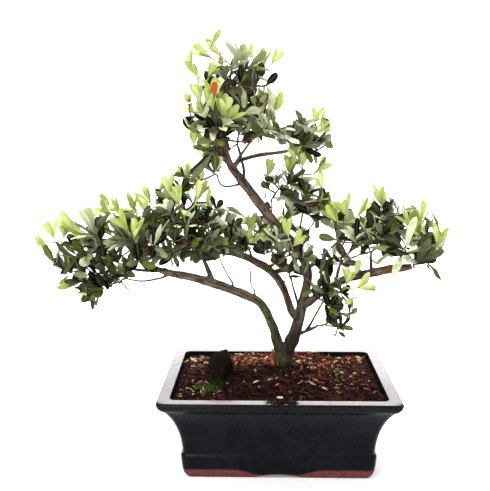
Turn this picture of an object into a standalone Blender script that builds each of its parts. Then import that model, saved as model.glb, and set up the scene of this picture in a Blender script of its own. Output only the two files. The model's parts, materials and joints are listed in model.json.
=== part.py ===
"""Azalea bonsai in a glazed rectangular pot.

Lengths are in metres unless a name says otherwise. +Z is up, the front faces -Y.
The tree is laid out around the middle of the pot and moved by ORIGIN_SHIFT at the end.
"""
import math
import random

import bmesh
import bpy
from mathutils import Matrix, Vector
from mathutils.bvhtree import BVHTree

MM = 0.001
CM = 0.01
GAP = 0.0004

POT_LENGTH = 0.250
POT_DEPTH = 0.190
POT_HEIGHT = 0.092
POT_CORNER_RADIUS = 0.007
CORNER_STEPS = 3
FOOT_RECESS = 0.0055
FOOT_ARCH_RISE = 0.0048
FOOT_ARCH_SPAN = 0.052
DRAIN_RADIUS = 0.009
DRAIN_OFFSET_X = 0.060
FLOOR_Z = 0.0165

SOIL_EDGE_Z = 0.0835
SOIL_MOUND = 0.0100
SOIL_MOUND_SPREAD = 0.045
SOIL_CHIPS = 9

TRUNK_FOOT = (0.006, 0.035)
TRUNK_HOLE_RADIUS = 0.0134
TRUNK_HOLE_Z = 0.0495

STONE_CENTRE = (-0.065, -0.012)
STONE_RADIUS = 0.0145
STONE_TOP_Z = 0.120
STONE_BASE_Z = 0.074

MESH_SIZE = 0.026
MESH_THICKNESS = 0.0014
MESH_OPENING = 0.0042
MESH_PITCH = 0.0068

ORIGIN_SHIFT = (0.0382, -0.0063, 0.0)

TWIG_RADIUS = 1.05 * MM
STEM_RADIUS = 0.75 * MM
LEAF_SEED = 41
WHORL_SHARE = 0.55
YOUNG_SHARE = 0.80
FLAT_ANGLES = (9.0, 7.0, 5.0, 3.0, 1.0)
WELD_DISTANCE = 0.016 * MM
LONG_LEAF = 23 * MM
UP = 1
DOWN = -1

# Outer wall of the pot from the foot up to the rim: inset from the rim size, height, both in mm.
POT_OUTSIDE = (
    (26.5, 0.0),
    (24.1, 3.5),
    (22.1, 10.2),
    (20.8, 25.7),
    (22.5, 27.4),
    (22.1, 35.0),
    (20.2, 46.5),
    (17.0, 57.5),
    (12.8, 67.5),
    (8.0, 75.6),
    (3.8, 81.0),
    (1.6, 82.4),
    (-1.0, 85.5),
    (-2.1, 90.1),
    (0.0, 92.0),
)

# Inner wall of the pot from the rim down to the floor, in the same terms.
POT_INSIDE = (
    (11.0, 92.0),
    (12.6, 84.0),
    (18.0, 70.0),
    (24.0, 55.0),
    (29.0, 35.0),
    (31.0, 16.5),
)

# Branch centre lines: x, y, z in centimetres from the middle of the pot, radius in mm.
LIMBS = {
    "bole": (
        (0.6, 3.5, 5.0, 11.0),
        (0.6, 3.5, 7.4, 12.4),
        (0.6, 3.5, 9.2, 12.2),
        (0.7, 3.5, 10.3, 11.0),
        (0.8, 3.5, 11.4, 8.0),
    ),
    "left": (
        (0.6, 3.5, 10.0, 7.2),
        (0.3, 3.4, 11.2, 6.6),
        (-0.1, 3.3, 12.4, 5.9),
        (-0.4, 3.0, 13.7, 5.3),
        (-0.9, 2.7, 14.9, 5.1),
        (-1.4, 2.4, 16.1, 5.1),
        (-2.2, 2.0, 17.2, 5.1),
        (-3.5, 1.5, 18.0, 5.0),
        (-5.0, 1.0, 18.7, 5.0),
        (-7.1, 0.4, 19.6, 5.3),
        (-9.2, -0.3, 20.4, 4.7),
        (-10.6, -0.8, 20.8, 4.4),
        (-12.1, -1.3, 21.2, 3.8),
        (-13.3, -1.8, 21.7, 3.0),
        (-14.4, -2.2, 22.3, 2.4),
        (-15.7, -2.6, 23.3, 1.9),
    ),
    "left_tip": (
        (-13.0, -1.7, 21.5, 2.2),
        (-14.7, -1.6, 21.5, 1.9),
        (-16.3, -1.8, 21.8, 1.7),
        (-17.8, -2.2, 22.7, 1.5),
        (-19.1, -2.7, 23.5, 1.3),
        (-20.1, -3.0, 24.0, 1.1),
    ),
    "trunk": (
        (0.8, 3.5, 10.0, 8.6),
        (1.3, 3.5, 11.1, 8.2),
        (1.8, 3.4, 12.2, 7.5),
        (2.3, 3.3, 13.7, 7.2),
        (2.6, 3.1, 15.2, 6.6),
        (3.0, 3.0, 17.0, 5.4),
        (3.3, 2.9, 18.4, 5.1),
        (3.5, 2.8, 19.8, 5.1),
        (3.3, 2.5, 21.3, 5.1),
        (2.6, 2.2, 22.8, 5.1),
        (1.3, 1.6, 24.6, 5.2),
        (-0.1, 1.0, 26.1, 5.2),
        (-1.3, 0.5, 27.7, 5.3),
        (-3.1, -0.2, 30.1, 5.3),
        (-4.2, -0.6, 31.6, 4.9),
        (-5.1, -0.9, 32.8, 4.5),
        (-5.6, -1.1, 34.1, 3.3),
        (-5.8, -1.2, 35.4, 2.7),
        (-5.9, -1.3, 37.0, 2.3),
        (-5.9, -1.3, 38.7, 1.9),
        (-5.7, -1.2, 40.2, 1.6),
        (-5.3, -1.1, 41.6, 1.3),
    ),
    "middle": (
        (2.4, 3.3, 14.7, 4.6),
        (1.6, 3.7, 15.9, 4.5),
        (1.1, 4.0, 17.4, 4.4),
        (0.5, 4.4, 18.7, 4.5),
        (-0.3, 4.7, 19.8, 4.7),
        (-1.4, 5.0, 20.7, 4.6),
        (-2.4, 5.3, 21.2, 4.5),
        (-3.5, 5.6, 21.7, 4.4),
        (-4.7, 5.8, 22.1, 4.1),
        (-6.3, 5.8, 22.4, 3.9),
        (-7.9, 5.6, 22.6, 3.7),
        (-9.3, 5.2, 23.0, 3.2),
        (-10.6, 4.6, 23.8, 2.4),
        (-11.7, 4.0, 24.8, 1.8),
    ),
    "right": (
        (3.1, 2.9, 16.5, 4.3),
        (4.2, 2.2, 17.5, 4.3),
        (5.7, 1.4, 18.9, 4.5),
        (7.3, 0.6, 20.0, 4.8),
        (8.7, 0.0, 20.6, 4.8),
        (10.3, -0.7, 21.1, 4.8),
        (12.4, -1.4, 21.7, 4.5),
        (13.6, -1.8, 21.9, 4.1),
        (14.5, -2.0, 22.1, 2.9),
    ),
    "crown_right": (
        (-4.9, -0.9, 32.6, 2.7),
        (-4.3, -0.6, 33.4, 2.6),
        (-3.2, -0.3, 33.8, 2.4),
        (-1.8, 0.0, 34.1, 2.3),
        (-0.1, 0.2, 34.3, 2.1),
        (1.0, 0.3, 34.5, 1.8),
        (1.9, 0.4, 35.0, 1.4),
    ),
    "crown_left": (
        (-5.4, -1.0, 33.2, 2.4),
        (-6.2, -1.5, 34.0, 2.0),
        (-6.6, -2.0, 35.0, 1.8),
        (-6.5, -2.5, 36.0, 1.5),
    ),
    "crown_mid": (
        (-4.9, -1.0, 32.8, 1.8),
        (-4.3, -1.3, 33.8, 1.6),
        (-3.7, -1.4, 34.6, 1.5),
        (-2.9, -1.3, 35.7, 1.3),
    ),
    "crown_low": (
        (-3.8, -0.4, 31.0, 1.5),
        (-5.6, -1.3, 30.7, 1.3),
        (-6.3, -1.7, 31.1, 1.2),
        (-6.6, -1.9, 31.9, 1.0),
    ),
    "crown_tip": (
        (-5.8, -1.3, 37.8, 1.5),
        (-4.6, -1.0, 38.5, 1.3),
        (-3.4, -0.8, 40.0, 1.1),
        (-2.7, -0.7, 41.3, 1.0),
    ),
    "left_spur": (
        (-7.2, 0.4, 19.6, 3.3),
        (-7.7, 0.4, 20.8, 3.0),
        (-8.1, 0.3, 21.8, 2.5),
        (-8.6, 0.0, 23.1, 2.0),
    ),
    "right_spur": (
        (10.3, -0.7, 21.1, 2.2),
        (10.2, -0.9, 22.6, 1.7),
        (10.2, -1.0, 23.5, 1.5),
        (10.7, -0.9, 24.0, 1.2),
        (11.1, -0.8, 24.9, 1.1),
    ),
    "right_rise": (
        (6.6, 0.9, 19.6, 2.2),
        (6.7, 0.2, 21.0, 1.8),
        (7.0, -0.5, 22.7, 1.5),
        (7.1, -0.9, 24.3, 1.2),
    ),
    "low_right": (
        (2.5, 3.2, 13.0, 2.6),
        (3.2, 2.4, 13.5, 2.0),
        (3.9, 1.4, 14.1, 1.8),
        (4.5, 0.2, 14.8, 1.4),
    ),
    "low_right_rise": (
        (3.3, 2.2, 13.6, 1.8),
        (3.8, 1.6, 14.6, 1.6),
        (4.3, 0.8, 15.9, 1.4),
        (5.0, -0.2, 17.6, 1.2),
    ),
    "centre_twig": (
        (2.6, 2.9, 16.1, 1.6),
        (2.0, 2.2, 18.0, 1.2),
        (1.6, 1.6, 19.7, 1.1),
    ),
    "shoulder": (
        (2.8, 2.2, 22.4, 2.0),
        (2.5, 1.6, 24.3, 1.6),
        (2.5, 1.0, 25.9, 1.4),
        (2.7, 0.4, 27.5, 1.3),
    ),
    "shoulder_left": (
        (-0.9, 0.7, 27.2, 1.4),
        (-0.7, 1.0, 27.9, 1.2),
        (-0.7, 1.2, 29.0, 1.1),
    ),
    "middle_twig": (
        (-3.0, 5.4, 21.5, 2.0),
        (-3.2, 4.6, 22.6, 1.6),
        (-3.4, 3.6, 23.2, 1.4),
    ),
    "back": (
        (2.9, 2.4, 22.1, 2.8),
        (2.2, 4.4, 22.6, 2.7),
        (0.7, 6.2, 23.1, 2.4),
        (-1.1, 7.6, 23.8, 1.9),
        (-2.7, 8.6, 24.6, 1.6),
    ),
    "crown_back": (
        (-3.9, -0.3, 31.1, 2.3),
        (-3.8, 1.6, 32.1, 2.0),
        (-4.1, 3.2, 33.4, 1.7),
        (-4.6, 4.4, 35.0, 1.4),
    ),
    "middle_rise": (
        (-6.6, 5.8, 22.3, 2.4),
        (-7.3, 5.2, 23.7, 2.0),
        (-8.0, 4.4, 25.1, 1.6),
    ),
    "left_low": (
        (-11.9, -1.2, 21.0, 1.6),
        (-13.2, -1.6, 20.6, 1.4),
        (-15.0, -2.0, 20.4, 1.2),
        (-16.6, -2.2, 20.7, 1.1),
    ),
    "right_back": (
        (7.6, 0.5, 20.2, 2.2),
        (7.9, 2.0, 20.8, 1.8),
        (8.4, 3.4, 21.5, 1.5),
    ),
}

# Leafy sprays: the limb each grows from, then its twig tips: x, y, z in cm, leaf count,
# leaf length in mm, and whether the tip rises or hangs.
SPRAYS = {
    "crown_top": ("trunk", (
        (-5.0, -1.2, 43.2, 5, 30, UP),
        (-4.0, -2.2, 41.5, 5, 26, UP),
        (-6.3, 0.8, 41.1, 5, 24, UP),
        (-7.2, -1.6, 41.3, 4, 20, UP),
    )),
    "crown_tip": ("crown_tip", (
        (-2.0, -0.8, 42.3, 6, 26, UP),
        (-3.2, 1.4, 40.2, 5, 24, UP),
        (-1.3, -1.8, 41.4, 4, 22, UP),
    )),
    "crown_left": ("crown_left", (
        (-6.4, -2.7, 37.0, 6, 36, UP),
        (-8.0, -1.0, 35.9, 5, 28, UP),
        (-5.3, -1.0, 38.1, 4, 26, UP),
        (-7.8, -3.4, 38.2, 4, 30, UP),
    )),
    "crown_mid": ("crown_mid", (
        (-1.3, -1.4, 37.1, 7, 34, UP),
        (-2.8, 1.8, 38.1, 5, 28, UP),
        (0.7, -0.4, 36.3, 4, 32, UP),
    )),
    "crown_right": ("crown_right", (
        (3.5, -0.2, 36.5, 6, 24, UP),
        (2.2, 2.2, 36.0, 5, 22, UP),
        (5.0, 0.8, 36.0, 5, 22, UP),
        (2.7, 1.2, 37.5, 5, 22, UP),
    )),
    "crown_low": ("crown_low", (
        (-7.9, -2.3, 33.1, 6, 24, UP),
        (-7.0, -0.4, 34.5, 5, 24, UP),
        (-9.0, -1.4, 31.4, 3, 15, UP),
    )),
    "crown_back": ("crown_back", (
        (-4.4, 5.2, 36.8, 6, 28, UP),
        (-6.6, 4.4, 35.9, 5, 26, UP),
        (-2.3, 4.8, 36.3, 5, 26, UP),
        (-4.5, 3.6, 38.8, 5, 26, UP),
        (-6.1, 2.8, 39.9, 5, 26, UP),
    )),
    "shoulder_left": ("shoulder_left", (
        (0.4, 1.4, 30.6, 5, 20, UP),
        (-1.2, 2.2, 30.3, 4, 18, UP),
    )),
    "shoulder": ("shoulder", (
        (2.8, 0.2, 29.1, 6, 24, UP),
        (1.3, 1.6, 29.7, 5, 22, UP),
        (4.4, -0.6, 28.9, 5, 22, UP),
        (2.5, 1.2, 31.0, 5, 22, UP),
        (4.5, 1.6, 26.5, 5, 22, UP),
    )),
    "back": ("back", (
        (-3.0, 9.4, 25.5, 5, 22, UP),
        (-1.1, 8.4, 26.6, 5, 22, UP),
        (-4.5, 9.2, 24.4, 5, 22, UP),
        (0.9, 7.4, 25.8, 5, 22, UP),
        (0.1, 6.4, 24.0, 5, 20, UP),
    )),
    "right_rise": ("right_rise", (
        (7.8, -1.2, 25.9, 6, 26, UP),
        (6.5, 0.8, 24.6, 5, 24, UP),
        (9.3, -1.8, 26.3, 5, 26, UP),
        (8.2, 1.8, 26.0, 5, 24, UP),
    )),
    "right_spur": ("right_spur", (
        (11.4, -0.8, 26.9, 6, 28, UP),
        (10.2, -1.8, 26.1, 4, 24, UP),
        (12.9, -0.4, 26.0, 5, 26, UP),
        (12.4, 1.2, 24.7, 5, 24, UP),
    )),
    "right_end": ("right", (
        (13.6, -2.4, 23.0, 7, 38, UP),
        (15.2, -1.2, 23.7, 5, 32, UP),
        (13.1, -0.2, 23.7, 5, 32, UP),
        (16.2, -1.8, 22.6, 4, 28, UP),
    )),
    "right_back": ("right_back", (
        (8.1, 4.4, 22.4, 5, 24, UP),
        (10.0, 3.8, 22.6, 5, 24, UP),
        (6.2, 3.4, 22.1, 5, 22, UP),
        (11.8, 3.6, 23.3, 5, 24, UP),
    )),
    "low_right": ("low_right", (
        (5.9, -0.3, 15.5, 6, 22, UP),
        (6.7, -1.2, 16.9, 4, 18, UP),
    )),
    "low_right_rise": ("low_right_rise", (
        (5.5, -0.5, 18.6, 5, 22, UP),
        (7.0, -1.0, 19.1, 5, 20, UP),
        (4.4, 0.4, 19.3, 4, 20, UP),
    )),
    "centre": ("centre_twig", (
        (1.2, 1.4, 21.0, 5, 22, UP),
        (-0.3, 1.0, 22.0, 5, 20, UP),
        (-0.9, 0.8, 23.8, 5, 20, UP),
        (1.5, 0.4, 23.1, 5, 20, UP),
    )),
    "middle_twig": ("middle_twig", (
        (-3.5, 3.4, 23.9, 6, 24, UP),
        (-2.0, 4.0, 25.4, 5, 22, UP),
        (-5.5, 3.2, 24.2, 5, 24, UP),
    )),
    "left_spur": ("left_spur", (
        (-8.6, -0.6, 24.8, 6, 24, UP),
        (-7.1, 0.8, 25.2, 5, 24, UP),
        (-10.1, -1.6, 24.7, 5, 24, UP),
        (-8.2, -0.4, 26.7, 5, 22, UP),
        (-5.6, 1.8, 23.7, 5, 22, UP),
        (-10.1, -1.4, 26.6, 5, 22, UP),
        (-11.8, -2.0, 23.8, 5, 24, UP),
    )),
    "middle_end": ("middle", (
        (-12.3, 4.2, 26.2, 6, 24, UP),
        (-13.7, 4.0, 27.5, 5, 24, UP),
        (-10.8, 3.4, 27.7, 5, 22, UP),
        (-13.7, 5.0, 24.4, 5, 24, UP),
        (-9.5, 3.0, 28.6, 5, 22, UP),
        (-11.9, 6.0, 23.0, 5, 22, UP),
    )),
    "middle_rise": ("middle_rise", (
        (-8.2, 4.4, 26.6, 5, 22, UP),
        (-7.0, 3.6, 27.9, 5, 22, UP),
        (-5.8, 5.2, 26.3, 5, 22, UP),
        (-9.7, 6.4, 25.3, 5, 22, UP),
        (-7.6, 7.4, 23.4, 5, 22, UP),
    )),
    "bough_end": ("left", (
        (-15.3, -3.0, 24.5, 7, 36, UP),
        (-17.1, -1.0, 24.5, 5, 28, UP),
        (-14.1, -1.6, 25.5, 5, 28, UP),
        (-15.2, -0.2, 26.6, 5, 26, UP),
        (-13.2, -3.4, 24.5, 5, 26, UP),
    )),
    "left_tip": ("left_tip", (
        (-20.2, -3.2, 24.8, 6, 34, UP),
        (-22.1, -3.0, 23.2, 6, 30, UP),
        (-19.1, -1.8, 23.0, 5, 28, UP),
        (-21.5, -1.2, 21.8, 5, 26, UP),
        (-18.7, -4.2, 25.0, 4, 26, UP),
    )),
    "left_low": ("left_low", (
        (-17.3, -2.4, 20.3, 5, 18, DOWN),
        (-20.1, -2.7, 19.4, 5, 22, DOWN),
        (-19.1, -1.8, 21.4, 5, 24, UP),
        (-21.6, -2.4, 20.5, 4, 22, UP),
    )),
}

# Young shoots: the spray and twig tip each grows from, then its stem ends in the same terms.
SHOOTS = (
    ("crown_top", 0, (
        (-6.2, -1.5, 44.5, 3, 20),
        (-7.4, -2.0, 44.3, 2, 20),
    )),
    ("crown_top", 3, (
        (-8.5, -2.0, 42.4, 3, 20),
        (-7.3, -2.6, 42.2, 2, 18),
    )),
    ("crown_tip", 0, (
        (-1.7, -1.0, 43.4, 3, 18),
        (-0.7, -0.4, 43.7, 2, 18),
    )),
    ("crown_left", 0, (
        (-5.9, -3.2, 38.5, 5, 24),
        (-6.9, -3.8, 39.0, 3, 22),
    )),
    ("crown_left", 3, (
        (-8.2, -3.6, 39.6, 3, 20),
    )),
    ("crown_mid", 0, (
        (-1.8, -1.6, 38.7, 3, 22),
        (-0.5, -1.2, 38.6, 4, 22),
    )),
    ("crown_right", 0, (
        (3.9, -0.4, 37.7, 3, 18),
        (4.5, -0.8, 37.3, 2, 16),
    )),
    ("crown_low", 0, (
        (-8.0, -2.6, 34.3, 4, 20),
    )),
    ("shoulder_left", 1, (
        (-1.1, 2.2, 31.9, 4, 18),
    )),
    ("shoulder", 1, (
        (1.2, 1.6, 32.2, 4, 20),
    )),
    ("shoulder", 3, (
        (2.7, 1.2, 32.8, 3, 22),
        (4.3, 0.6, 32.2, 3, 20),
    )),
    ("shoulder", 2, (
        (4.7, -1.0, 30.6, 3, 18),
    )),
    ("right_rise", 0, (
        (7.3, -1.6, 27.7, 4, 24),
        (8.6, -1.0, 27.4, 3, 22),
    )),
    ("right_spur", 0, (
        (11.1, -0.9, 28.8, 3, 22),
    )),
    ("right_end", 1, (
        (14.2, -1.2, 26.4, 3, 24),
        (15.4, -1.6, 26.9, 4, 24),
    )),
    ("right_end", 3, (
        (17.1, -2.0, 24.6, 3, 22),
    )),
    ("right_back", 3, (
        (12.4, 4.2, 25.0, 3, 20),
    )),
    ("low_right_rise", 1, (
        (7.6, -1.2, 20.2, 3, 20),
        (8.8, -1.4, 19.6, 3, 20),
    )),
    ("centre", 3, (
        (1.1, 0.2, 25.1, 3, 20),
    )),
    ("middle_twig", 0, (
        (-3.2, 3.0, 25.2, 3, 20),
        (-1.9, 2.6, 24.5, 2, 20),
    )),
    ("left_spur", 5, (
        (-10.8, -1.6, 29.0, 4, 20),
        (-8.7, -1.8, 29.6, 3, 20),
    )),
    ("middle_end", 1, (
        (-14.9, 4.2, 28.5, 3, 22),
        (-16.4, 4.4, 27.2, 2, 20),
    )),
    ("middle_end", 4, (
        (-9.2, 3.2, 30.3, 4, 20),
    )),
    ("bough_end", 0, (
        (-16.1, -3.6, 26.2, 3, 24),
    )),
    ("bough_end", 1, (
        (-18.3, -1.4, 25.4, 3, 24),
    )),
    ("bough_end", 3, (
        (-15.9, -0.4, 28.2, 3, 20),
        (-17.5, -1.0, 28.0, 3, 18),
    )),
    ("left_tip", 0, (
        (-20.0, -3.4, 26.9, 2, 20),
        (-22.0, -3.8, 26.5, 3, 24),
    )),
    ("left_tip", 1, (
        (-24.1, -3.4, 25.4, 2, 22),
        (-24.6, -3.8, 24.1, 2, 20),
    )),
    ("left_low", 3, (
        (-22.5, -2.8, 20.0, 3, 18),
    )),
)


SHIFT_MATRIX = Matrix.Translation(ORIGIN_SHIFT)


def clear_scene():
    for item in list(bpy.data.objects):
        bpy.data.objects.remove(item, do_unlink=True)
    for group in list(bpy.data.collections):
        bpy.data.collections.remove(group)


def new_collection(name):
    group = bpy.data.collections.new(name)
    bpy.context.scene.collection.children.link(group)
    return group


def material(name, colour, roughness, metallic=0.0):
    mat = bpy.data.materials.new(name)
    mat.use_nodes = True
    shader = mat.node_tree.nodes["Principled BSDF"]
    shader.inputs["Base Color"].default_value = (*colour, 1.0)
    shader.inputs["Roughness"].default_value = roughness
    shader.inputs["Metallic"].default_value = metallic
    return mat


def object_from_faces(name, verts, faces, group):
    mesh = bpy.data.meshes.new(name)
    mesh.from_pydata([tuple(v) for v in verts], [], faces)
    mesh.validate()
    item = bpy.data.objects.new(name, mesh)
    group.objects.link(item)
    return item


def face_outward(item):
    work = bmesh.new()
    work.from_mesh(item.data)
    bmesh.ops.remove_doubles(work, verts=work.verts, dist=0.00001)
    bmesh.ops.recalc_face_normals(work, faces=work.faces)
    work.to_mesh(item.data)
    work.free()


def tube(name, points, radii, group, sides_step=0):
    """A round bar along a line of points, its ends capped."""
    curve = bpy.data.curves.new(name, "CURVE")
    curve.dimensions = "3D"
    curve.bevel_depth = 1.0
    curve.bevel_resolution = sides_step
    curve.use_fill_caps = True
    spline = curve.splines.new("POLY")
    spline.points.add(len(points) - 1)
    for slot, point, radius in zip(spline.points, points, radii):
        slot.co = (*point, 1.0)
        slot.radius = radius
    holder = bpy.data.objects.new(name, curve)
    group.objects.link(holder)
    bpy.context.view_layer.update()
    seen = holder.evaluated_get(bpy.context.evaluated_depsgraph_get())
    mesh = bpy.data.meshes.new_from_object(seen)
    mesh.transform(holder.matrix_world)
    bpy.data.objects.remove(holder, do_unlink=True)
    item = bpy.data.objects.new(name, mesh)
    group.objects.link(item)
    face_outward(item)
    return item


def apply_modifiers(item):
    bpy.context.view_layer.update()
    seen = item.evaluated_get(bpy.context.evaluated_depsgraph_get())
    mesh = bpy.data.meshes.new_from_object(seen)
    item.modifiers.clear()
    item.data = mesh


def remove_inner_shells(work):
    """Fill any small void left where pieces cross, by dropping its skin."""
    waiting = set(work.verts)
    shells = []
    while waiting:
        front = [waiting.pop()]
        shell = set(front)
        while front:
            vert = front.pop()
            for edge in vert.link_edges:
                other = edge.other_vert(vert)
                if other in waiting:
                    waiting.remove(other)
                    shell.add(other)
                    front.append(other)
        shells.append(shell)
    outer = max(shells, key=len)
    for shell in shells:
        if shell is not outer and len(shell) < 40:
            bmesh.ops.delete(work, geom=list(shell), context="VERTS")


def drop_folded_faces(work):
    """Delete faces lying back to back, and lone flaps standing on a skin that is closed below."""
    work.verts.index_update()
    seen = {}
    spare = set()
    for face in work.faces:
        corners = frozenset(v.index for v in face.verts)
        if corners in seen:
            spare.add(face)
            spare.add(seen[corners])
        seen[corners] = face
    spare = spare or lone_flaps(work)
    while spare:
        bmesh.ops.delete(work, geom=list(spare), context="FACES")
        spare = lone_flaps(work)


def lone_flaps(work):
    flaps = set()
    for face in work.faces:
        counts = [len(edge.link_faces) for edge in face.edges]
        if 1 in counts and 2 not in counts:
            flaps.add(face)
    return flaps


def tidy_faces(item, flat_angles):
    """Merge close points and nearly flat faces, by the first angle that leaves a sound skin.

    Returns the places where the skin is unsound at every angle, and then leaves it as it is.
    """
    spots = []
    for angle in flat_angles:
        work = bmesh.new()
        work.from_mesh(item.data)
        remove_inner_shells(work)
        bmesh.ops.triangulate(work, faces=work.faces)
        bmesh.ops.remove_doubles(work, verts=work.verts, dist=WELD_DISTANCE)
        drop_folded_faces(work)
        bmesh.ops.dissolve_limit(
            work, angle_limit=math.radians(angle), verts=work.verts, edges=work.edges
        )
        bmesh.ops.triangulate(work, faces=work.faces)
        drop_folded_faces(work)
        spots = [(e.verts[0].co + e.verts[1].co) / 2 for e in work.edges if not e.is_manifold]
        if not spots:
            work.to_mesh(item.data)
        work.free()
        if not spots:
            break
    return spots


def fuse(item, others, solver, flat_angles):
    """Join every object of a collection to one object and drop the collection."""
    boolean = item.modifiers.new("fuse", "BOOLEAN")
    boolean.operation = "UNION"
    boolean.operand_type = "COLLECTION"
    boolean.collection = others
    boolean.solver = solver
    apply_modifiers(item)
    for other in list(others.objects):
        bpy.data.objects.remove(other, do_unlink=True)
    bpy.data.collections.remove(others)
    return tidy_faces(item, flat_angles)


def cut(item, cutter):
    cutter.hide_render = True
    cutter.display_type = "WIRE"
    boolean = item.modifiers.new("cut", "BOOLEAN")
    boolean.operation = "DIFFERENCE"
    boolean.object = cutter
    boolean.solver = "EXACT"
    apply_modifiers(item)
    bpy.data.objects.remove(cutter, do_unlink=True)
    tidy_faces(item, (0.5,))


def box(name, size, centre, group):
    work = bmesh.new()
    bmesh.ops.create_cube(work, size=1.0)
    bmesh.ops.scale(work, vec=size, verts=work.verts)
    bmesh.ops.translate(work, vec=centre, verts=work.verts)
    mesh = bpy.data.meshes.new(name)
    work.to_mesh(mesh)
    work.free()
    item = bpy.data.objects.new(name, mesh)
    group.objects.link(item)
    return item


def cylinder(name, radius, length, centre, axis, sides, group):
    work = bmesh.new()
    bmesh.ops.create_cone(work, cap_ends=True, segments=sides, radius1=radius, radius2=radius, depth=length)
    turn = Vector((0, 0, 1)).rotation_difference(Vector(axis)).to_matrix().to_4x4()
    bmesh.ops.transform(work, matrix=turn, verts=work.verts)
    bmesh.ops.translate(work, vec=centre, verts=work.verts)
    mesh = bpy.data.meshes.new(name)
    work.to_mesh(mesh)
    work.free()
    item = bpy.data.objects.new(name, mesh)
    group.objects.link(item)
    return item


def finish(item, mat, smooth=True):
    item.data.materials.clear()
    item.data.materials.append(mat)
    for face in item.data.polygons:
        face.use_smooth = smooth
        face.material_index = 0
    item.data.transform(SHIFT_MATRIX)
    return item


def rounded_ring(inset, height, radius):
    """Corner points of a rounded rectangle, inset from the rim size."""
    half_x = POT_LENGTH / 2 - inset
    half_y = POT_DEPTH / 2 - inset
    points = []
    for corner in range(4):
        sign_x = (1, -1, -1, 1)[corner]
        sign_y = (1, 1, -1, -1)[corner]
        for step in range(CORNER_STEPS + 1):
            angle = math.radians(90 * corner + 90 * step / CORNER_STEPS)
            x = sign_x * (half_x - radius) + radius * math.cos(angle)
            y = sign_y * (half_y - radius) + radius * math.sin(angle)
            points.append(Vector((x, y, height)))
    return points


def loft(rings):
    """Faces between rings of equal count, with a flat face closing each end."""
    count = len(rings[0])
    verts = [point for ring in rings for point in ring]
    faces = [tuple(reversed(range(count)))]
    for level in range(len(rings) - 1):
        low = level * count
        high = low + count
        for k in range(count):
            following = (k + 1) % count
            faces.append((low + k, low + following, high + following, high + k))
    faces.append(tuple(range(len(verts) - count, len(verts))))
    return verts, faces


def build_pot(group, cutters):
    rings = [rounded_ring(i * MM, z * MM, POT_CORNER_RADIUS) for i, z in POT_OUTSIDE]
    rings += [rounded_ring(i * MM, z * MM, POT_CORNER_RADIUS) for i, z in POT_INSIDE]
    verts, faces = loft(rings)
    pot = object_from_faces("pot", verts, faces, group)
    face_outward(pot)
    recess = (POT_LENGTH - 0.084, POT_DEPTH - 0.084, FOOT_RECESS * 2)
    cut(pot, box("recess", recess, (0, 0, 0), cutters))
    arch_radius = (FOOT_ARCH_SPAN ** 2 / 4 + FOOT_ARCH_RISE ** 2) / (2 * FOOT_ARCH_RISE)
    arch_z = FOOT_ARCH_RISE - arch_radius
    for name, axis in (("arch_front", (0, 1, 0)), ("arch_side", (1, 0, 0))):
        cut(pot, cylinder(name, arch_radius, 0.3, (0, 0, arch_z), axis, 64, cutters))
    for side in (-1, 1):
        centre = (side * DRAIN_OFFSET_X, 0, FLOOR_Z / 2)
        cut(pot, cylinder("drain", DRAIN_RADIUS, 0.03, centre, (0, 0, 1), 16, cutters))
    return finish(pot, material("pot_glaze", (0.012, 0.013, 0.020), 0.28))


def build_mesh(side, group, cutters):
    """A square of plastic net lying over one drain hole."""
    name = "drainage_mesh_left" if side < 0 else "drainage_mesh_right"
    centre = Vector((side * DRAIN_OFFSET_X, 0, FLOOR_Z + GAP + MESH_THICKNESS / 2))
    net = box(name, (MESH_SIZE, MESH_SIZE, MESH_THICKNESS), centre, group)
    for row in (-1, 0, 1):
        for column in (-1, 0, 1):
            place = centre + Vector((column * MESH_PITCH, row * MESH_PITCH, 0))
            cut(net, box("opening", (MESH_OPENING, MESH_OPENING, 0.01), place, cutters))
    return finish(net, material(name, (0.02, 0.025, 0.02), 0.6), smooth=False)


def soil_height(x, y):
    """Height of the soil surface: nearly level, rising to the foot of the trunk."""
    away = (x - TRUNK_FOOT[0]) ** 2 + (y - TRUNK_FOOT[1]) ** 2
    mound = SOIL_MOUND * math.exp(-away / (2 * SOIL_MOUND_SPREAD ** 2))
    lumps = 0.0011 * math.sin(x * 97 + 1.3) * math.cos(y * 113 + 0.4)
    return SOIL_EDGE_Z + mound + lumps


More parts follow.
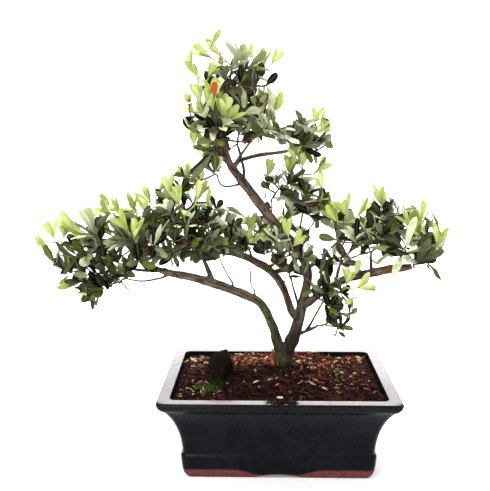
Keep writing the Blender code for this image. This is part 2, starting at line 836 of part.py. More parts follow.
def build_soil(group, cutters):
    below = [(31.0 + 0.5, 16.5 + 0.5), (29.5, 35.0), (24.6, 55.0), (18.7, 70.0)]
    rings = [rounded_ring(i * MM, z * MM, POT_CORNER_RADIUS) for i, z in below]
    rim = rounded_ring(13.7 * MM, SOIL_EDGE_Z - 0.001, POT_CORNER_RADIUS)
    rings.append(rim)
    focus = Vector((*TRUNK_FOOT, 0))
    for share in (0.06, 0.25, 0.45, 0.65, 0.85):
        ring = []
        for point in rim:
            x = point.x + (focus.x - point.x) * share
            y = point.y + (focus.y - point.y) * share
            ring.append(Vector((x, y, soil_height(x, y))))
        rings.append(ring)
    verts, faces = loft(rings)
    soil = object_from_faces("soil", verts, faces, group)
    face_outward(soil)
    ground = BVHTree.FromPolygons([v.co for v in soil.data.vertices], [p.vertices for p in soil.data.polygons])
    rng = random.Random(7)
    chips = new_collection("chips")
    placed = 0
    while placed < SOIL_CHIPS:
        x = rng.uniform(-0.100, 0.100)
        y = rng.uniform(-0.072, 0.072)
        length = rng.uniform(0.006, 0.012)
        turn = rng.uniform(0, math.pi)
        near_trunk = math.hypot(x - TRUNK_FOOT[0], y - TRUNK_FOOT[1]) < 0.024
        near_stone = math.hypot(x - STONE_CENTRE[0], y - STONE_CENTRE[1]) < 0.026
        if near_trunk or near_stone:
            continue
        heading = Vector((math.cos(turn), math.sin(turn), 0))
        middle = ground.ray_cast(Vector((x, y, 0.2)), Vector((0, 0, -1)))[0]
        ends = [middle - heading * length / 2, middle, middle + heading * length / 2]
        ends[0].z -= 0.0016
        ends[1].z += 0.0002
        ends[2].z -= 0.0008
        tube("chip", ends, [0.0012, 0.0020, 0.0013], chips)
        placed += 1
    fuse(soil, chips, "EXACT", (1.0,))
    hole_length = 0.08
    hole_centre = (TRUNK_FOOT[0], TRUNK_FOOT[1], TRUNK_HOLE_Z + hole_length / 2)
    cut(soil, cylinder("hole", TRUNK_HOLE_RADIUS, hole_length, hole_centre, (0, 0, 1), 20, cutters))
    stone_centre = (*STONE_CENTRE, STONE_BASE_Z - GAP + 0.04)
    cut(soil, cylinder("bed", STONE_RADIUS + GAP, 0.08, stone_centre, (0, 0, 1), 14, cutters))
    for side in (-1, 1):
        size = MESH_SIZE + 2 * GAP
        top = FLOOR_Z + MESH_THICKNESS + 2 * GAP
        centre = (side * DRAIN_OFFSET_X, 0, top - 0.01)
        cut(soil, box("mesh_bed", (size, size, 0.02), centre, cutters))
    return finish(soil, material("soil", (0.055, 0.022, 0.016), 0.95), smooth=False)


def build_stone(group):
    """A dark rough block bedded in the soil, left of the trunk."""
    rng = random.Random(5)
    sides = 9
    levels = ((0.0, 0.98), (0.32, 0.98), (0.56, 1.12), (0.84, 0.98), (1.0, 0.66))
    rings = []
    for share, scale in levels:
        ring = []
        for k in range(sides):
            angle = math.tau * k / sides
            rough = 1.0 if share < 0.4 else rng.uniform(0.76, 1.10)
            radius = STONE_RADIUS * scale * rough
            height = STONE_BASE_Z + share * (STONE_TOP_Z - STONE_BASE_Z)
            if share > 0.4:
                height += rng.uniform(-0.0026, 0.0026)
            x = STONE_CENTRE[0] + radius * math.cos(angle)
            y = STONE_CENTRE[1] + radius * math.sin(angle)
            ring.append(Vector((x, y, height)))
        rings.append(ring)
    verts, faces = loft(rings)
    stone = object_from_faces("mossy_stone", verts, faces, group)
    face_outward(stone)
    return finish(stone, material("mossy_stone", (0.020, 0.022, 0.012), 0.95), smooth=False)


def to_metres(row):
    return Vector((row[0] * CM, row[1] * CM, row[2] * CM))


def shell_of_line(points, radii, extra):
    """Closed six-sided bar used only to test for clearance."""
    verts = []
    faces = [(5, 4, 3, 2, 1, 0)]
    for k, point in enumerate(points):
        ahead = points[min(k + 1, len(points) - 1)] - points[max(k - 1, 0)]
        ahead.normalize()
        side = ahead.orthogonal().normalized()
        across = ahead.cross(side)
        radius = radii[k] + extra
        for j in range(6):
            angle = math.tau * j / 6
            verts.append(point + side * math.cos(angle) * radius + across * math.sin(angle) * radius)
        if k:
            low = (k - 1) * 6
            for j in range(6):
                following = (j + 1) % 6
                faces.append((low + j, low + following, low + 6 + following, low + 6 + j))
    last = (len(points) - 1) * 6
    faces.append(tuple(range(last, last + 6)))
    return verts, faces


class Leaf:
    """One blade: where it starts, which way it runs and faces, and its size."""

    def __init__(self, base, along, normal, length, width, bend, kind):
        self.base = base
        self.along = along.normalized()
        side = self.along.cross(normal)
        if side.length < 0.001:
            side = self.along.orthogonal()
        self.side = side.normalized()
        self.normal = self.side.cross(self.along).normalized()
        self.length = length
        self.width = width
        self.bend = bend
        self.kind = kind

    def point(self, share):
        sag = self.bend * share * share * self.length
        return self.base + self.along * (share * self.length) - self.normal * sag

    def shell(self, extra=0.0):
        """Closed blade of triangular section: flat above, keeled below, pointed at the tip."""
        root_half = (0.60 if self.kind == "old" else 0.48) * MM + extra
        keel = (0.95 if self.length > 0.026 else 0.80) * MM + 2 * extra
        root = (0.0, root_half, 0.75 * MM + 2 * extra)
        if self.length > LONG_LEAF:
            rows = (root, (0.36, self.width * 0.43 + extra, keel), (0.72, self.width * 0.47 + extra, keel * 0.9))
        else:
            rows = (root, (0.58, self.width * 0.52 + extra, keel))
        verts = []
        for share, half, depth in rows:
            centre = self.point(share) + self.normal * extra
            verts.append(centre - self.side * half)
            verts.append(centre + self.side * half)
            verts.append(centre - self.normal * depth)
        verts.append(self.point(1.0 + extra / self.length))
        faces = [(0, 1, 2)]
        last = 3 * (len(rows) - 1)
        for low in range(0, last, 3):
            faces.append((low, low + 3, low + 4, low + 1))
            faces.append((low + 1, low + 4, low + 5, low + 2))
            faces.append((low + 2, low + 5, low + 3, low))
        tip = last + 3
        faces += [(last, tip, last + 1), (last + 1, tip, last + 2), (last + 2, tip, last)]
        return verts, faces

    def outer_shell(self):
        """The blade without its narrow root."""
        verts, faces = self.shell()
        middle = self.point(0.3)
        thin = 0.3 * MM
        verts[0] = middle - self.side * self.width * 0.3
        verts[1] = middle + self.side * self.width * 0.3
        verts[2] = middle - self.normal * thin
        return verts, faces


class Space:
    """Keeps the outline of everything placed so far, by node, to test new pieces against."""

    def __init__(self):
        self.shells = {}

    def add(self, owner, shell):
        verts, faces = shell
        low = [min(v[i] for v in verts) for i in range(3)]
        high = [max(v[i] for v in verts) for i in range(3)]
        tree = BVHTree.FromPolygons([tuple(v) for v in verts], faces)
        self.shells.setdefault(owner, []).append((low, high, tree))

    def clear(self, owners, shell, within=False):
        """True if nothing of another owner is met, or nothing of these owners if within."""
        verts, faces = shell
        low = [min(v[i] for v in verts) for i in range(3)]
        high = [max(v[i] for v in verts) for i in range(3)]
        tree = None
        for name, entries in self.shells.items():
            if (name in owners) != within:
                continue
            for other_low, other_high, other in entries:
                if any(low[i] > other_high[i] or high[i] < other_low[i] for i in range(3)):
                    continue
                if tree is None:
                    tree = BVHTree.FromPolygons([tuple(v) for v in verts], faces)
                if tree.overlap(other):
                    return False
        return True


def bezier(start, start_way, end, end_way, steps):
    reach = (end - start).length * 0.36
    first = start + start_way * reach
    second = end - end_way * reach
    points = []
    for k in range(steps + 1):
        t = k / steps
        s = 1 - t
        points.append(start * s ** 3 + first * 3 * s * s * t + second * 3 * s * t * t + end * t ** 3)
    return points


class Branchlet:
    """Twigs and leaves that grow as one body."""

    def __init__(self, name, kind):
        self.name = name
        self.kind = kind
        self.twigs = []
        self.leaves = []
        self.tips = []


def limb_lines():
    lines = {}
    for name, rows in LIMBS.items():
        lines[name] = ([to_metres(row) for row in rows], [row[3] * MM for row in rows])
    return lines


def spray_centre(rows):
    total = Vector((0, 0, 0))
    for row in rows:
        total += to_metres(row)
    return total / len(rows)


def grow_twig(space, plant, start, way, tip, axis, radii, rng, host):
    """Bend a twig from start to tip so that it clears every other piece."""
    steps = 3 if (tip - start).length > 0.024 else 2
    radii = radii[:steps] + radii[-1:]
    for attempt in range(24):
        spread = 0.10 * attempt
        shake = Vector((rng.uniform(-1, 1), rng.uniform(-1, 1), rng.uniform(-1, 1))) * spread
        end_way = (axis + shake).normalized()
        end = tip + shake * max(0, attempt - 3) * 0.6 * MM
        points = bezier(start, way, end, end_way, steps)
        if host != plant.name:
            slant = (points[1] - points[0]).angle(way)
            points[0] = start + way * (GAP + radii[0] * math.sin(slant))
            beyond = [points[0].lerp(points[1], 0.4)] + points[1:]
            if not space.clear((host,), shell_of_line(beyond, radii, 0.3 * MM), True):
                continue
        if space.clear((plant.name, host), shell_of_line(points, radii, 0.5 * MM)):
            plant.twigs.append((points, radii))
            space.add(plant.name, shell_of_line(points, radii, 0.2 * MM))
            return points, points[-1] - points[-2]
    return None, None


def grow_sprays(space, lines, rng):
    sprays = {}
    for name, (limb, rows) in SPRAYS.items():
        plant = Branchlet("spray_" + name, "old")
        sprays[name] = plant
        line, radii = lines[limb]
        way = (line[-1] - line[-2]).normalized()
        root = line[-1]
        root_radius = min(radii[-1], 1.25 * MM)
        middle = spray_centre(rows)
        for index, row in enumerate(rows):
            tip = to_metres(row)
            outward = tip - middle
            outward.z *= 0.3
            lean = outward * 22 + Vector((0, 0, row[5] * 0.9)) + (tip - root).normalized() * 0.5
            lean.normalize()
            host = plant.name
            if not plant.twigs:
                start = root
                start_way = way
                start_radius = root_radius
                host = limb
            else:
                nearest = None
                for points, sizes in plant.twigs:
                    for k in range(len(points) - 1):
                        for share in (0.0, 0.5):
                            if k == 0 and share == 0.0:
                                share = 0.25
                            spot = points[k].lerp(points[k + 1], share)
                            rise = max(0.0, spot.z - tip.z) if row[5] == UP else 0.0
                            cost = (tip - spot).length + rise * 1.5
                            if nearest is None or cost < nearest[0]:
                                nearest = (cost, spot, (points[k + 1] - points[k]).normalized())
                start = nearest[1]
                start_way = (nearest[2] * 0.5 + (tip - start).normalized()).normalized()
                start_radius = TWIG_RADIUS
            sizes = [start_radius, TWIG_RADIUS * 1.05, TWIG_RADIUS, TWIG_RADIUS * 0.95]
            sizes[1] = (start_radius + TWIG_RADIUS) / 2
            points, last = grow_twig(space, plant, start, start_way, tip, lean, sizes, rng, host)
            if points is None:
                plant.tips.append(None)
                continue
            plant.tips.append((points[-1], last, row[3], row[4] * MM))
    return sprays


def grow_shoots(space, sprays, rng):
    shoots = []
    for number, (spray, index, rows) in enumerate(SHOOTS):
        tip = sprays[spray].tips[index]
        if tip is None:
            continue
        plant = Branchlet("young_shoot_%02d" % (number + 1), "young")
        tip_way = tip[1].normalized()
        root = tip[0]
        for row in rows:
            end = to_metres(row)
            lean = ((end - root).normalized() + Vector((0, 0, 1.1))).normalized()
            start = root if not plant.twigs else plant.twigs[0][0][1]
            way = tip_way if not plant.twigs else (end - start).normalized()
            sizes = [STEM_RADIUS * 1.15, STEM_RADIUS * 1.05, STEM_RADIUS, STEM_RADIUS * 0.95]
            host = plant.name if plant.twigs else sprays[spray].name
            points, last = grow_twig(space, plant, start, way, end, lean, sizes, rng, host)
            if points is None:
                plant.tips.append(None)
                continue
            plant.tips.append((points[-1], last, row[3], row[4] * MM))
        if plant.twigs:
            shoots.append(plant)
    return shoots


def leaf_in_whorl(tip, last, order, length, plant, rng, attempt, turn):
    """Aim one leaf of a whorl; later attempts stray further from the even spacing."""
    axis = last.normalized()
    side = axis.orthogonal().normalized()
    other = axis.cross(side)
    room = last.length * 0.85
    stray = 0.30 * attempt
    angle = turn + order * 2.399963 + rng.uniform(-0.25 - stray, 0.25 + stray)
    if plant.kind == "old":
        lift = math.radians(rng.uniform(46, 82) + rng.uniform(-1, 1) * 9 * attempt)
        base = tip - axis * min((1.1 + 0.75 * order) * MM, room)
        width = min(length * rng.uniform(0.36, 0.43), 12.5 * MM)
        bend = rng.uniform(0.05, 0.28)
    else:
        lift = math.radians(rng.uniform(16, 44) + rng.uniform(-1, 1) * 7 * attempt)
        base = tip - axis * min((0.6 + 0.8 * order) * MM, room)
        width = length * rng.uniform(0.38, 0.46)
        bend = rng.uniform(-0.12, 0.12)
    radial = side * math.cos(angle) + other * math.sin(angle)
    along = axis * math.cos(lift) + radial * math.sin(lift)
    normal = axis * math.sin(lift) - radial * math.cos(lift)
    size = length * rng.uniform(0.84, 1.08) * (1.0 - 0.03 * attempt)
    return Leaf(base, along, normal, size, width, bend, plant.kind)


def grow_leaves(space, plant, rng, share):
    for tip in plant.tips:
        if tip is None:
            continue
        place, last, total, length = tip
        count = max(2, round(total * share))
        turn = rng.uniform(0, math.tau)
        for order in range(count):
            for attempt in range(12):
                leaf = leaf_in_whorl(place, last, order, length, plant, rng, attempt, turn)
                if leaf.point(1.0).z < SOIL_EDGE_Z + 0.02:
                    continue
                if attempt < 8 and not space.clear((plant.name,), leaf.outer_shell(), True):
                    continue
                if space.clear((plant.name,), leaf.shell(0.28 * MM)):
                    plant.leaves.append(leaf)
                    space.add(plant.name, leaf.shell(0.0))
                    break


def grow_tree():
    """Lay out limbs, twigs, shoots and leaves so that no two nodes touch."""
    rng = random.Random(LEAF_SEED)
    space = Space()
    lines = limb_lines()
    for name, (points, radii) in lines.items():
        space.add(name, shell_of_line(points, [radius * 1.12 for radius in radii], 0.3 * MM))
    sprays = grow_sprays(space, lines, rng)
    shoots = grow_shoots(space, sprays, rng)
    for plant in shoots:
        grow_leaves(space, plant, rng, YOUNG_SHARE)
    for plant in sprays.values():
        grow_leaves(space, plant, rng, WHORL_SHARE)
    return lines, list(sprays.values()), shoots


def build_wood(lines, group):
    """Trunk and branches, grown as one piece."""
    others = new_collection("limbs")
    wood = None
    for name, (points, radii) in lines.items():
        step = 2 if max(radii) > 3.5 * MM else 1
        if wood is None:
            wood = tube("trunk_and_branches", points, radii, group, step)
        else:
            tube(name, points, radii, others, step)
    fuse(wood, others, "EXACT", FLAT_ANGLES)
    return finish(wood, material("bark", (0.150, 0.105, 0.085), 0.85))


def join_branchlet(plant, group):
    others = new_collection("blades")
    body = None
    for points, radii in plant.twigs:
        if body is None:
            body = tube(plant.name, points, radii, group)
        else:
            tube("twig", points, radii, others)
    for leaf in plant.leaves:
        verts, faces = leaf.shell()
        blade = object_from_faces("blade", verts, faces, others)
        face_outward(blade)
    return body, fuse(body, others, "MANIFOLD", FLAT_ANGLES)


def build_branchlet(plant, group, mat):
    """Join twigs and blades, trimming and at last leaving out a blade that won't join soundly."""
    body, spots = join_branchlet(plant, group)
    trims = 0
    while spots and len(plant.leaves) > 1:
        leaf = min(plant.leaves, key=lambda leaf: (leaf.base - spots[0]).length)
        trims += 1
        if trims % 5:
            leaf.length *= 0.98
            leaf.width *= 0.98
        else:
            plant.leaves.remove(leaf)
        bpy.data.objects.remove(body, do_unlink=True)
        body, spots = join_branchlet(plant, group)
    return finish(body, mat, smooth=False)


def build():
    clear_scene()
    group = new_collection("azalea_bonsai")
    cutters = new_collection("cutters")
    build_pot(group, cutters)
    for side in (-1, 1):
        build_mesh(side, group, cutters)
    build_soil(group, cutters)
    build_stone(group)
    lines, sprays, shoots = grow_tree()
    build_wood(lines, group)
    old_leaf = (0.045, 0.085, 0.030)
    young_leaf = (0.46, 0.64, 0.11)
    for plant in sprays:
        build_branchlet(plant, group, material(plant.name, old_leaf, 0.45))
    for plant in shoots:
        build_branchlet(plant, group, material(plant.name, young_leaf, 0.5))
    bpy.data.collections.remove(cutters)


build()
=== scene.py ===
"""Looks of an azalea bonsai in a glazed rectangular pot.

Lengths are in metres unless a name says otherwise. +Z is up, the front faces -Y.
The tree is laid out around the middle of the pot and moved by ORIGIN_SHIFT at the end.
"""

import json
import math
import random

import bmesh
import bpy
import numpy as np
from mathutils import Euler, Matrix, Vector, noise
from mathutils.bvhtree import BVHTree

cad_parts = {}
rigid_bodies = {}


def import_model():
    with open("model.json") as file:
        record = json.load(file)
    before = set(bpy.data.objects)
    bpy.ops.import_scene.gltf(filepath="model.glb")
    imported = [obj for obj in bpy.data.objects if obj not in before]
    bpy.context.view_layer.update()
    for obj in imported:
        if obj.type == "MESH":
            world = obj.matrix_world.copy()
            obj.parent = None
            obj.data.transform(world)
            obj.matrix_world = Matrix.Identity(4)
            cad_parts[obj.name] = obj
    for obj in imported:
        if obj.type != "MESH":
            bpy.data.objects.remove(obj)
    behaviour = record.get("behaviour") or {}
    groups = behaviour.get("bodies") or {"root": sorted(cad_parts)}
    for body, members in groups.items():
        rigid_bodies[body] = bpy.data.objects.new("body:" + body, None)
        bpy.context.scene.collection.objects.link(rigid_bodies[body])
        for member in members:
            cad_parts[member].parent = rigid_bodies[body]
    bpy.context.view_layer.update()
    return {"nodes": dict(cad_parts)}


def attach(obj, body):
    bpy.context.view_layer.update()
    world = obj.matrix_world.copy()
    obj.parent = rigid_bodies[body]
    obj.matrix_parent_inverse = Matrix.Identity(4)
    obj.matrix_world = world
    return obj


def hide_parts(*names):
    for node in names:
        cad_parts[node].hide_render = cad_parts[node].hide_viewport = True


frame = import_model()

MM = 0.001
CM = 0.01
# Gap between a twig and the piece that bears it.
GAP = 0.0004

POT_LENGTH = 0.250
POT_DEPTH = 0.190
POT_CORNER_RADIUS = 0.007
CORNER_STEPS = 9
FOOT_RECESS = 0.0055
# How much shorter than the rim the recess between the feet is, each way.
FEET_TAKE = 0.084
FOOT_ARCH_RISE = 0.0048
FOOT_ARCH_SPAN = 0.052
DRAIN_RADIUS = 0.009
DRAIN_OFFSET_X = 0.060
FLOOR_Z = 0.0165
RIM_Z = 92.0 * MM

SOIL_EDGE_Z = 0.0835
SOIL_MOUND = 0.0100
SOIL_MOUND_SPREAD = 0.045
SOIL_INSET = 13.9 * MM
# Usual distance from the trunk to the soil's edge, which sets how many rings its top has.
SOIL_REACH = 0.085
# Middle of the soil spilt over the front rim, and how far it spreads.
SPILL_X = 0.003
SPILL_PLAY = 0.0075

TRUNK_FOOT = (0.006, 0.035)

STONE_CENTRE = (-0.065, -0.012)
STONE_RADIUS = 0.0145
STONE_TOP_Z = 0.120
STONE_BASE_Z = 0.074

ORIGIN_SHIFT = (0.0382, -0.0063, 0.0)
SHIFT_MATRIX = Matrix.Translation(ORIGIN_SHIFT)

TWIG_RADIUS = 1.05 * MM
STEM_RADIUS = 0.75 * MM
LEAF_SEED = 41
GOLDEN_ANGLE = 2.399963
TWIG_ATTEMPTS = 24
LEAF_ATTEMPTS = 12
# Share of each whorl's leaves that the solids hold.
WHORL_SHARE = 0.55
YOUNG_SHARE = 0.80
# Length over which a solid blade has one more ring, and over which a blade is a slim flat one.
LONG_LEAF = 23 * MM
FLAT_LEAF = 28 * MM
# Least height of a leaf's tip.
LOWEST_LEAF_TIP = SOIL_EDGE_Z + 0.02
UP = 1
DOWN = -1

# Leaves added to each whorl beyond its own count.
MORE_OLD_LEAVES = 3
MORE_YOUNG_LEAVES = 1
# Further twigs for each one that the solid holds. Seen from the front, their tips keep the first
# distance from all others. They end within the second of one of their plant's own, less far in depth.
MORE_TWIGS = {"old": 1.4, "young": 0.9}
TWIG_SPREAD = {"old": (4.5 * MM, 18.0 * MM), "young": (5.0 * MM, 12.0 * MM)}
TWIG_DEPTH_SHARE = 0.5
TWIG_TRIES = 14
LONGEST_ADDED_TWIG = 0.040
# Where the one withered leaf hangs.
WITHERED_LEAF = (-0.0658, -0.0536, 0.4051)

BARK_VOXEL = 0.00085
SOIL_STEP = 0.0018

# The camera in the tree's own frame, its angles in radians, and the photograph's size in pixels.
CAMERA_PLACE = (-0.01658, -0.78614, 0.3648)
CAMERA_PITCH = 0.15670
CAMERA_YAW = -0.025703
CAMERA_ROLL = -0.0028062
FOCAL_PIXELS = 714.73
IMAGE_HEIGHT = 491
IMAGE_WIDTH = 490
# Where along a leaf it is tested against the clump outlines.
LEAF_TEST_SHARES = (0.3, 0.6, 0.9)

# Outer wall of the pot from the foot up to the rim: inset from the rim size, height, both in mm.
POT_OUTSIDE = (
    (26.5, 0.0), (24.1, 3.5), (22.1, 10.2), (20.8, 25.7), (22.5, 27.4), (22.1, 35.0), (20.2, 46.5),
    (17.0, 57.5), (12.8, 67.5), (8.0, 75.6), (3.8, 81.0), (1.6, 82.4), (-1.0, 85.5), (-2.1, 90.1),
    (0.0, 92.0),
)

# Side of the soil inside the pot, from the floor up, in the same terms.
SOIL_SIDES = ((31.5, 17.0), (29.5, 35.0), (24.6, 55.0), (18.7, 70.0))

# Inner wall of the pot from the rim down to the floor, in the same terms.
POT_INSIDE = (
    (11.0, 92.0), (12.6, 84.0), (18.0, 70.0), (24.0, 55.0), (29.0, 35.0), (31.0, 16.5),
)

# Branch centre lines: x, y, z in centimetres from the middle of the pot, radius in mm.
LIMBS = {
    "bole": (
        (0.6, 3.5, 5.0, 11.0), (0.6, 3.5, 7.4, 12.4), (0.6, 3.5, 9.2, 12.2), (0.7, 3.5, 10.3, 11.0),
        (0.8, 3.5, 11.4, 8.0),
    ),
    "left": (
        (0.6, 3.5, 10.0, 7.2), (0.3, 3.4, 11.2, 6.6), (-0.1, 3.3, 12.4, 5.9), (-0.4, 3.0, 13.7, 5.3),
        (-0.9, 2.7, 14.9, 5.1), (-1.4, 2.4, 16.1, 5.1), (-2.2, 2.0, 17.2, 5.1), (-3.5, 1.5, 18.0, 5.0),
        (-5.0, 1.0, 18.7, 5.0), (-7.1, 0.4, 19.6, 5.3), (-9.2, -0.3, 20.4, 4.7), (-10.6, -0.8, 20.8, 4.4),
        (-12.1, -1.3, 21.2, 3.8), (-13.3, -1.8, 21.7, 3.0), (-14.4, -2.2, 22.3, 2.4),
        (-15.7, -2.6, 23.3, 1.9),
    ),
    "left_tip": (
        (-13.0, -1.7, 21.5, 2.2), (-14.7, -1.6, 21.5, 1.9), (-16.3, -1.8, 21.8, 1.7),
        (-17.8, -2.2, 22.7, 1.5), (-19.1, -2.7, 23.5, 1.3), (-20.1, -3.0, 24.0, 1.1),
    ),
    "trunk": (
        (0.8, 3.5, 10.0, 8.6), (1.3, 3.5, 11.1, 8.2), (1.8, 3.4, 12.2, 7.5), (2.3, 3.3, 13.7, 7.2),
        (2.6, 3.1, 15.2, 6.6), (3.0, 3.0, 17.0, 5.4), (3.3, 2.9, 18.4, 5.1), (3.5, 2.8, 19.8, 5.1),
        (3.3, 2.5, 21.3, 5.1), (2.6, 2.2, 22.8, 5.1), (1.3, 1.6, 24.6, 5.2), (-0.1, 1.0, 26.1, 5.2),
        (-1.3, 0.5, 27.7, 5.3), (-3.1, -0.2, 30.1, 5.3), (-4.2, -0.6, 31.6, 4.9), (-5.1, -0.9, 32.8, 4.5),
        (-5.6, -1.1, 34.1, 3.3), (-5.8, -1.2, 35.4, 2.7), (-5.9, -1.3, 37.0, 2.3),
        (-5.9, -1.3, 38.7, 1.9), (-5.7, -1.2, 40.2, 1.6), (-5.3, -1.1, 41.6, 1.3),
    ),
    "middle": (
        (2.4, 3.3, 14.7, 4.6), (1.6, 3.7, 15.9, 4.5), (1.1, 4.0, 17.4, 4.4), (0.5, 4.4, 18.7, 4.5),
        (-0.3, 4.7, 19.8, 4.7), (-1.4, 5.0, 20.7, 4.6), (-2.4, 5.3, 21.2, 4.5), (-3.5, 5.6, 21.7, 4.4),
        (-4.7, 5.8, 22.1, 4.1), (-6.3, 5.8, 22.4, 3.9), (-7.9, 5.6, 22.6, 3.7), (-9.3, 5.2, 23.0, 3.2),
        (-10.6, 4.6, 23.8, 2.4), (-11.7, 4.0, 24.8, 1.8),
    ),
    "right": (
        (3.1, 2.9, 16.5, 4.3), (4.2, 2.2, 17.5, 4.3), (5.7, 1.4, 18.9, 4.5), (7.3, 0.6, 20.0, 4.8),
        (8.7, 0.0, 20.6, 4.8), (10.3, -0.7, 21.1, 4.8), (12.4, -1.4, 21.7, 4.5), (13.6, -1.8, 21.9, 4.1),
        (14.5, -2.0, 22.1, 2.9),
    ),
    "crown_right": (
        (-4.9, -0.9, 32.6, 2.7), (-4.3, -0.6, 33.4, 2.6), (-3.2, -0.3, 33.8, 2.4), (-1.8, 0.0, 34.1, 2.3),
        (-0.1, 0.2, 34.3, 2.1), (1.0, 0.3, 34.5, 1.8), (1.9, 0.4, 35.0, 1.4),
    ),
    "crown_left": (
        (-5.4, -1.0, 33.2, 2.4), (-6.2, -1.5, 34.0, 2.0), (-6.6, -2.0, 35.0, 1.8),
        (-6.5, -2.5, 36.0, 1.5),
    ),
    "crown_mid": (
        (-4.9, -1.0, 32.8, 1.8), (-4.3, -1.3, 33.8, 1.6), (-3.7, -1.4, 34.6, 1.5),
        (-2.9, -1.3, 35.7, 1.3),
    ),
    "crown_low": (
        (-3.8, -0.4, 31.0, 1.5), (-5.6, -1.3, 30.7, 1.3), (-6.3, -1.7, 31.1, 1.2),
        (-6.6, -1.9, 31.9, 1.0),
    ),
    "crown_tip": (
        (-5.8, -1.3, 37.8, 1.5), (-4.6, -1.0, 38.5, 1.3), (-3.4, -0.8, 40.0, 1.1),
        (-2.7, -0.7, 41.3, 1.0),
    ),
    "left_spur": (
        (-7.2, 0.4, 19.6, 3.3), (-7.7, 0.4, 20.8, 3.0), (-8.1, 0.3, 21.8, 2.5), (-8.6, 0.0, 23.1, 2.0),
    ),
    "right_spur": (
        (10.3, -0.7, 21.1, 2.2), (10.2, -0.9, 22.6, 1.7), (10.2, -1.0, 23.5, 1.5),
        (10.7, -0.9, 24.0, 1.2), (11.1, -0.8, 24.9, 1.1),
    ),
    "right_rise": (
        (6.6, 0.9, 19.6, 2.2), (6.7, 0.2, 21.0, 1.8), (7.0, -0.5, 22.7, 1.5), (7.1, -0.9, 24.3, 1.2),
    ),
    "low_right": (
        (2.5, 3.2, 13.0, 2.6), (3.2, 2.4, 13.5, 2.0), (3.9, 1.4, 14.1, 1.8), (4.5, 0.2, 14.8, 1.4),
    ),
    "low_right_rise": (
        (3.3, 2.2, 13.6, 1.8), (3.8, 1.6, 14.6, 1.6), (4.3, 0.8, 15.9, 1.4), (5.0, -0.2, 17.6, 1.2),
    ),
    "centre_twig": ((2.6, 2.9, 16.1, 1.6), (2.0, 2.2, 18.0, 1.2), (1.6, 1.6, 19.7, 1.1)),
    "shoulder": (
        (2.8, 2.2, 22.4, 2.0), (2.5, 1.6, 24.3, 1.6), (2.5, 1.0, 25.9, 1.4), (2.7, 0.4, 27.5, 1.3),
    ),
    "shoulder_left": ((-0.9, 0.7, 27.2, 1.4), (-0.7, 1.0, 27.9, 1.2), (-0.7, 1.2, 29.0, 1.1)),
    "middle_twig": ((-3.0, 5.4, 21.5, 2.0), (-3.2, 4.6, 22.6, 1.6), (-3.4, 3.6, 23.2, 1.4)),
    "back": (
        (2.9, 2.4, 22.1, 2.8), (2.2, 4.4, 22.6, 2.7), (0.7, 6.2, 23.1, 2.4), (-1.1, 7.6, 23.8, 1.9),
        (-2.7, 8.6, 24.6, 1.6),
    ),
    "crown_back": (
        (-3.9, -0.3, 31.1, 2.3), (-3.8, 1.6, 32.1, 2.0), (-4.1, 3.2, 33.4, 1.7), (-4.6, 4.4, 35.0, 1.4),
    ),
    "middle_rise": ((-6.6, 5.8, 22.3, 2.4), (-7.3, 5.2, 23.7, 2.0), (-8.0, 4.4, 25.1, 1.6)),
    "left_low": (
        (-11.9, -1.2, 21.0, 1.6), (-13.2, -1.6, 20.6, 1.4), (-15.0, -2.0, 20.4, 1.2),
        (-16.6, -2.2, 20.7, 1.1),
    ),
    "right_back": ((7.6, 0.5, 20.2, 2.2), (7.9, 2.0, 20.8, 1.8), (8.4, 3.4, 21.5, 1.5)),
}

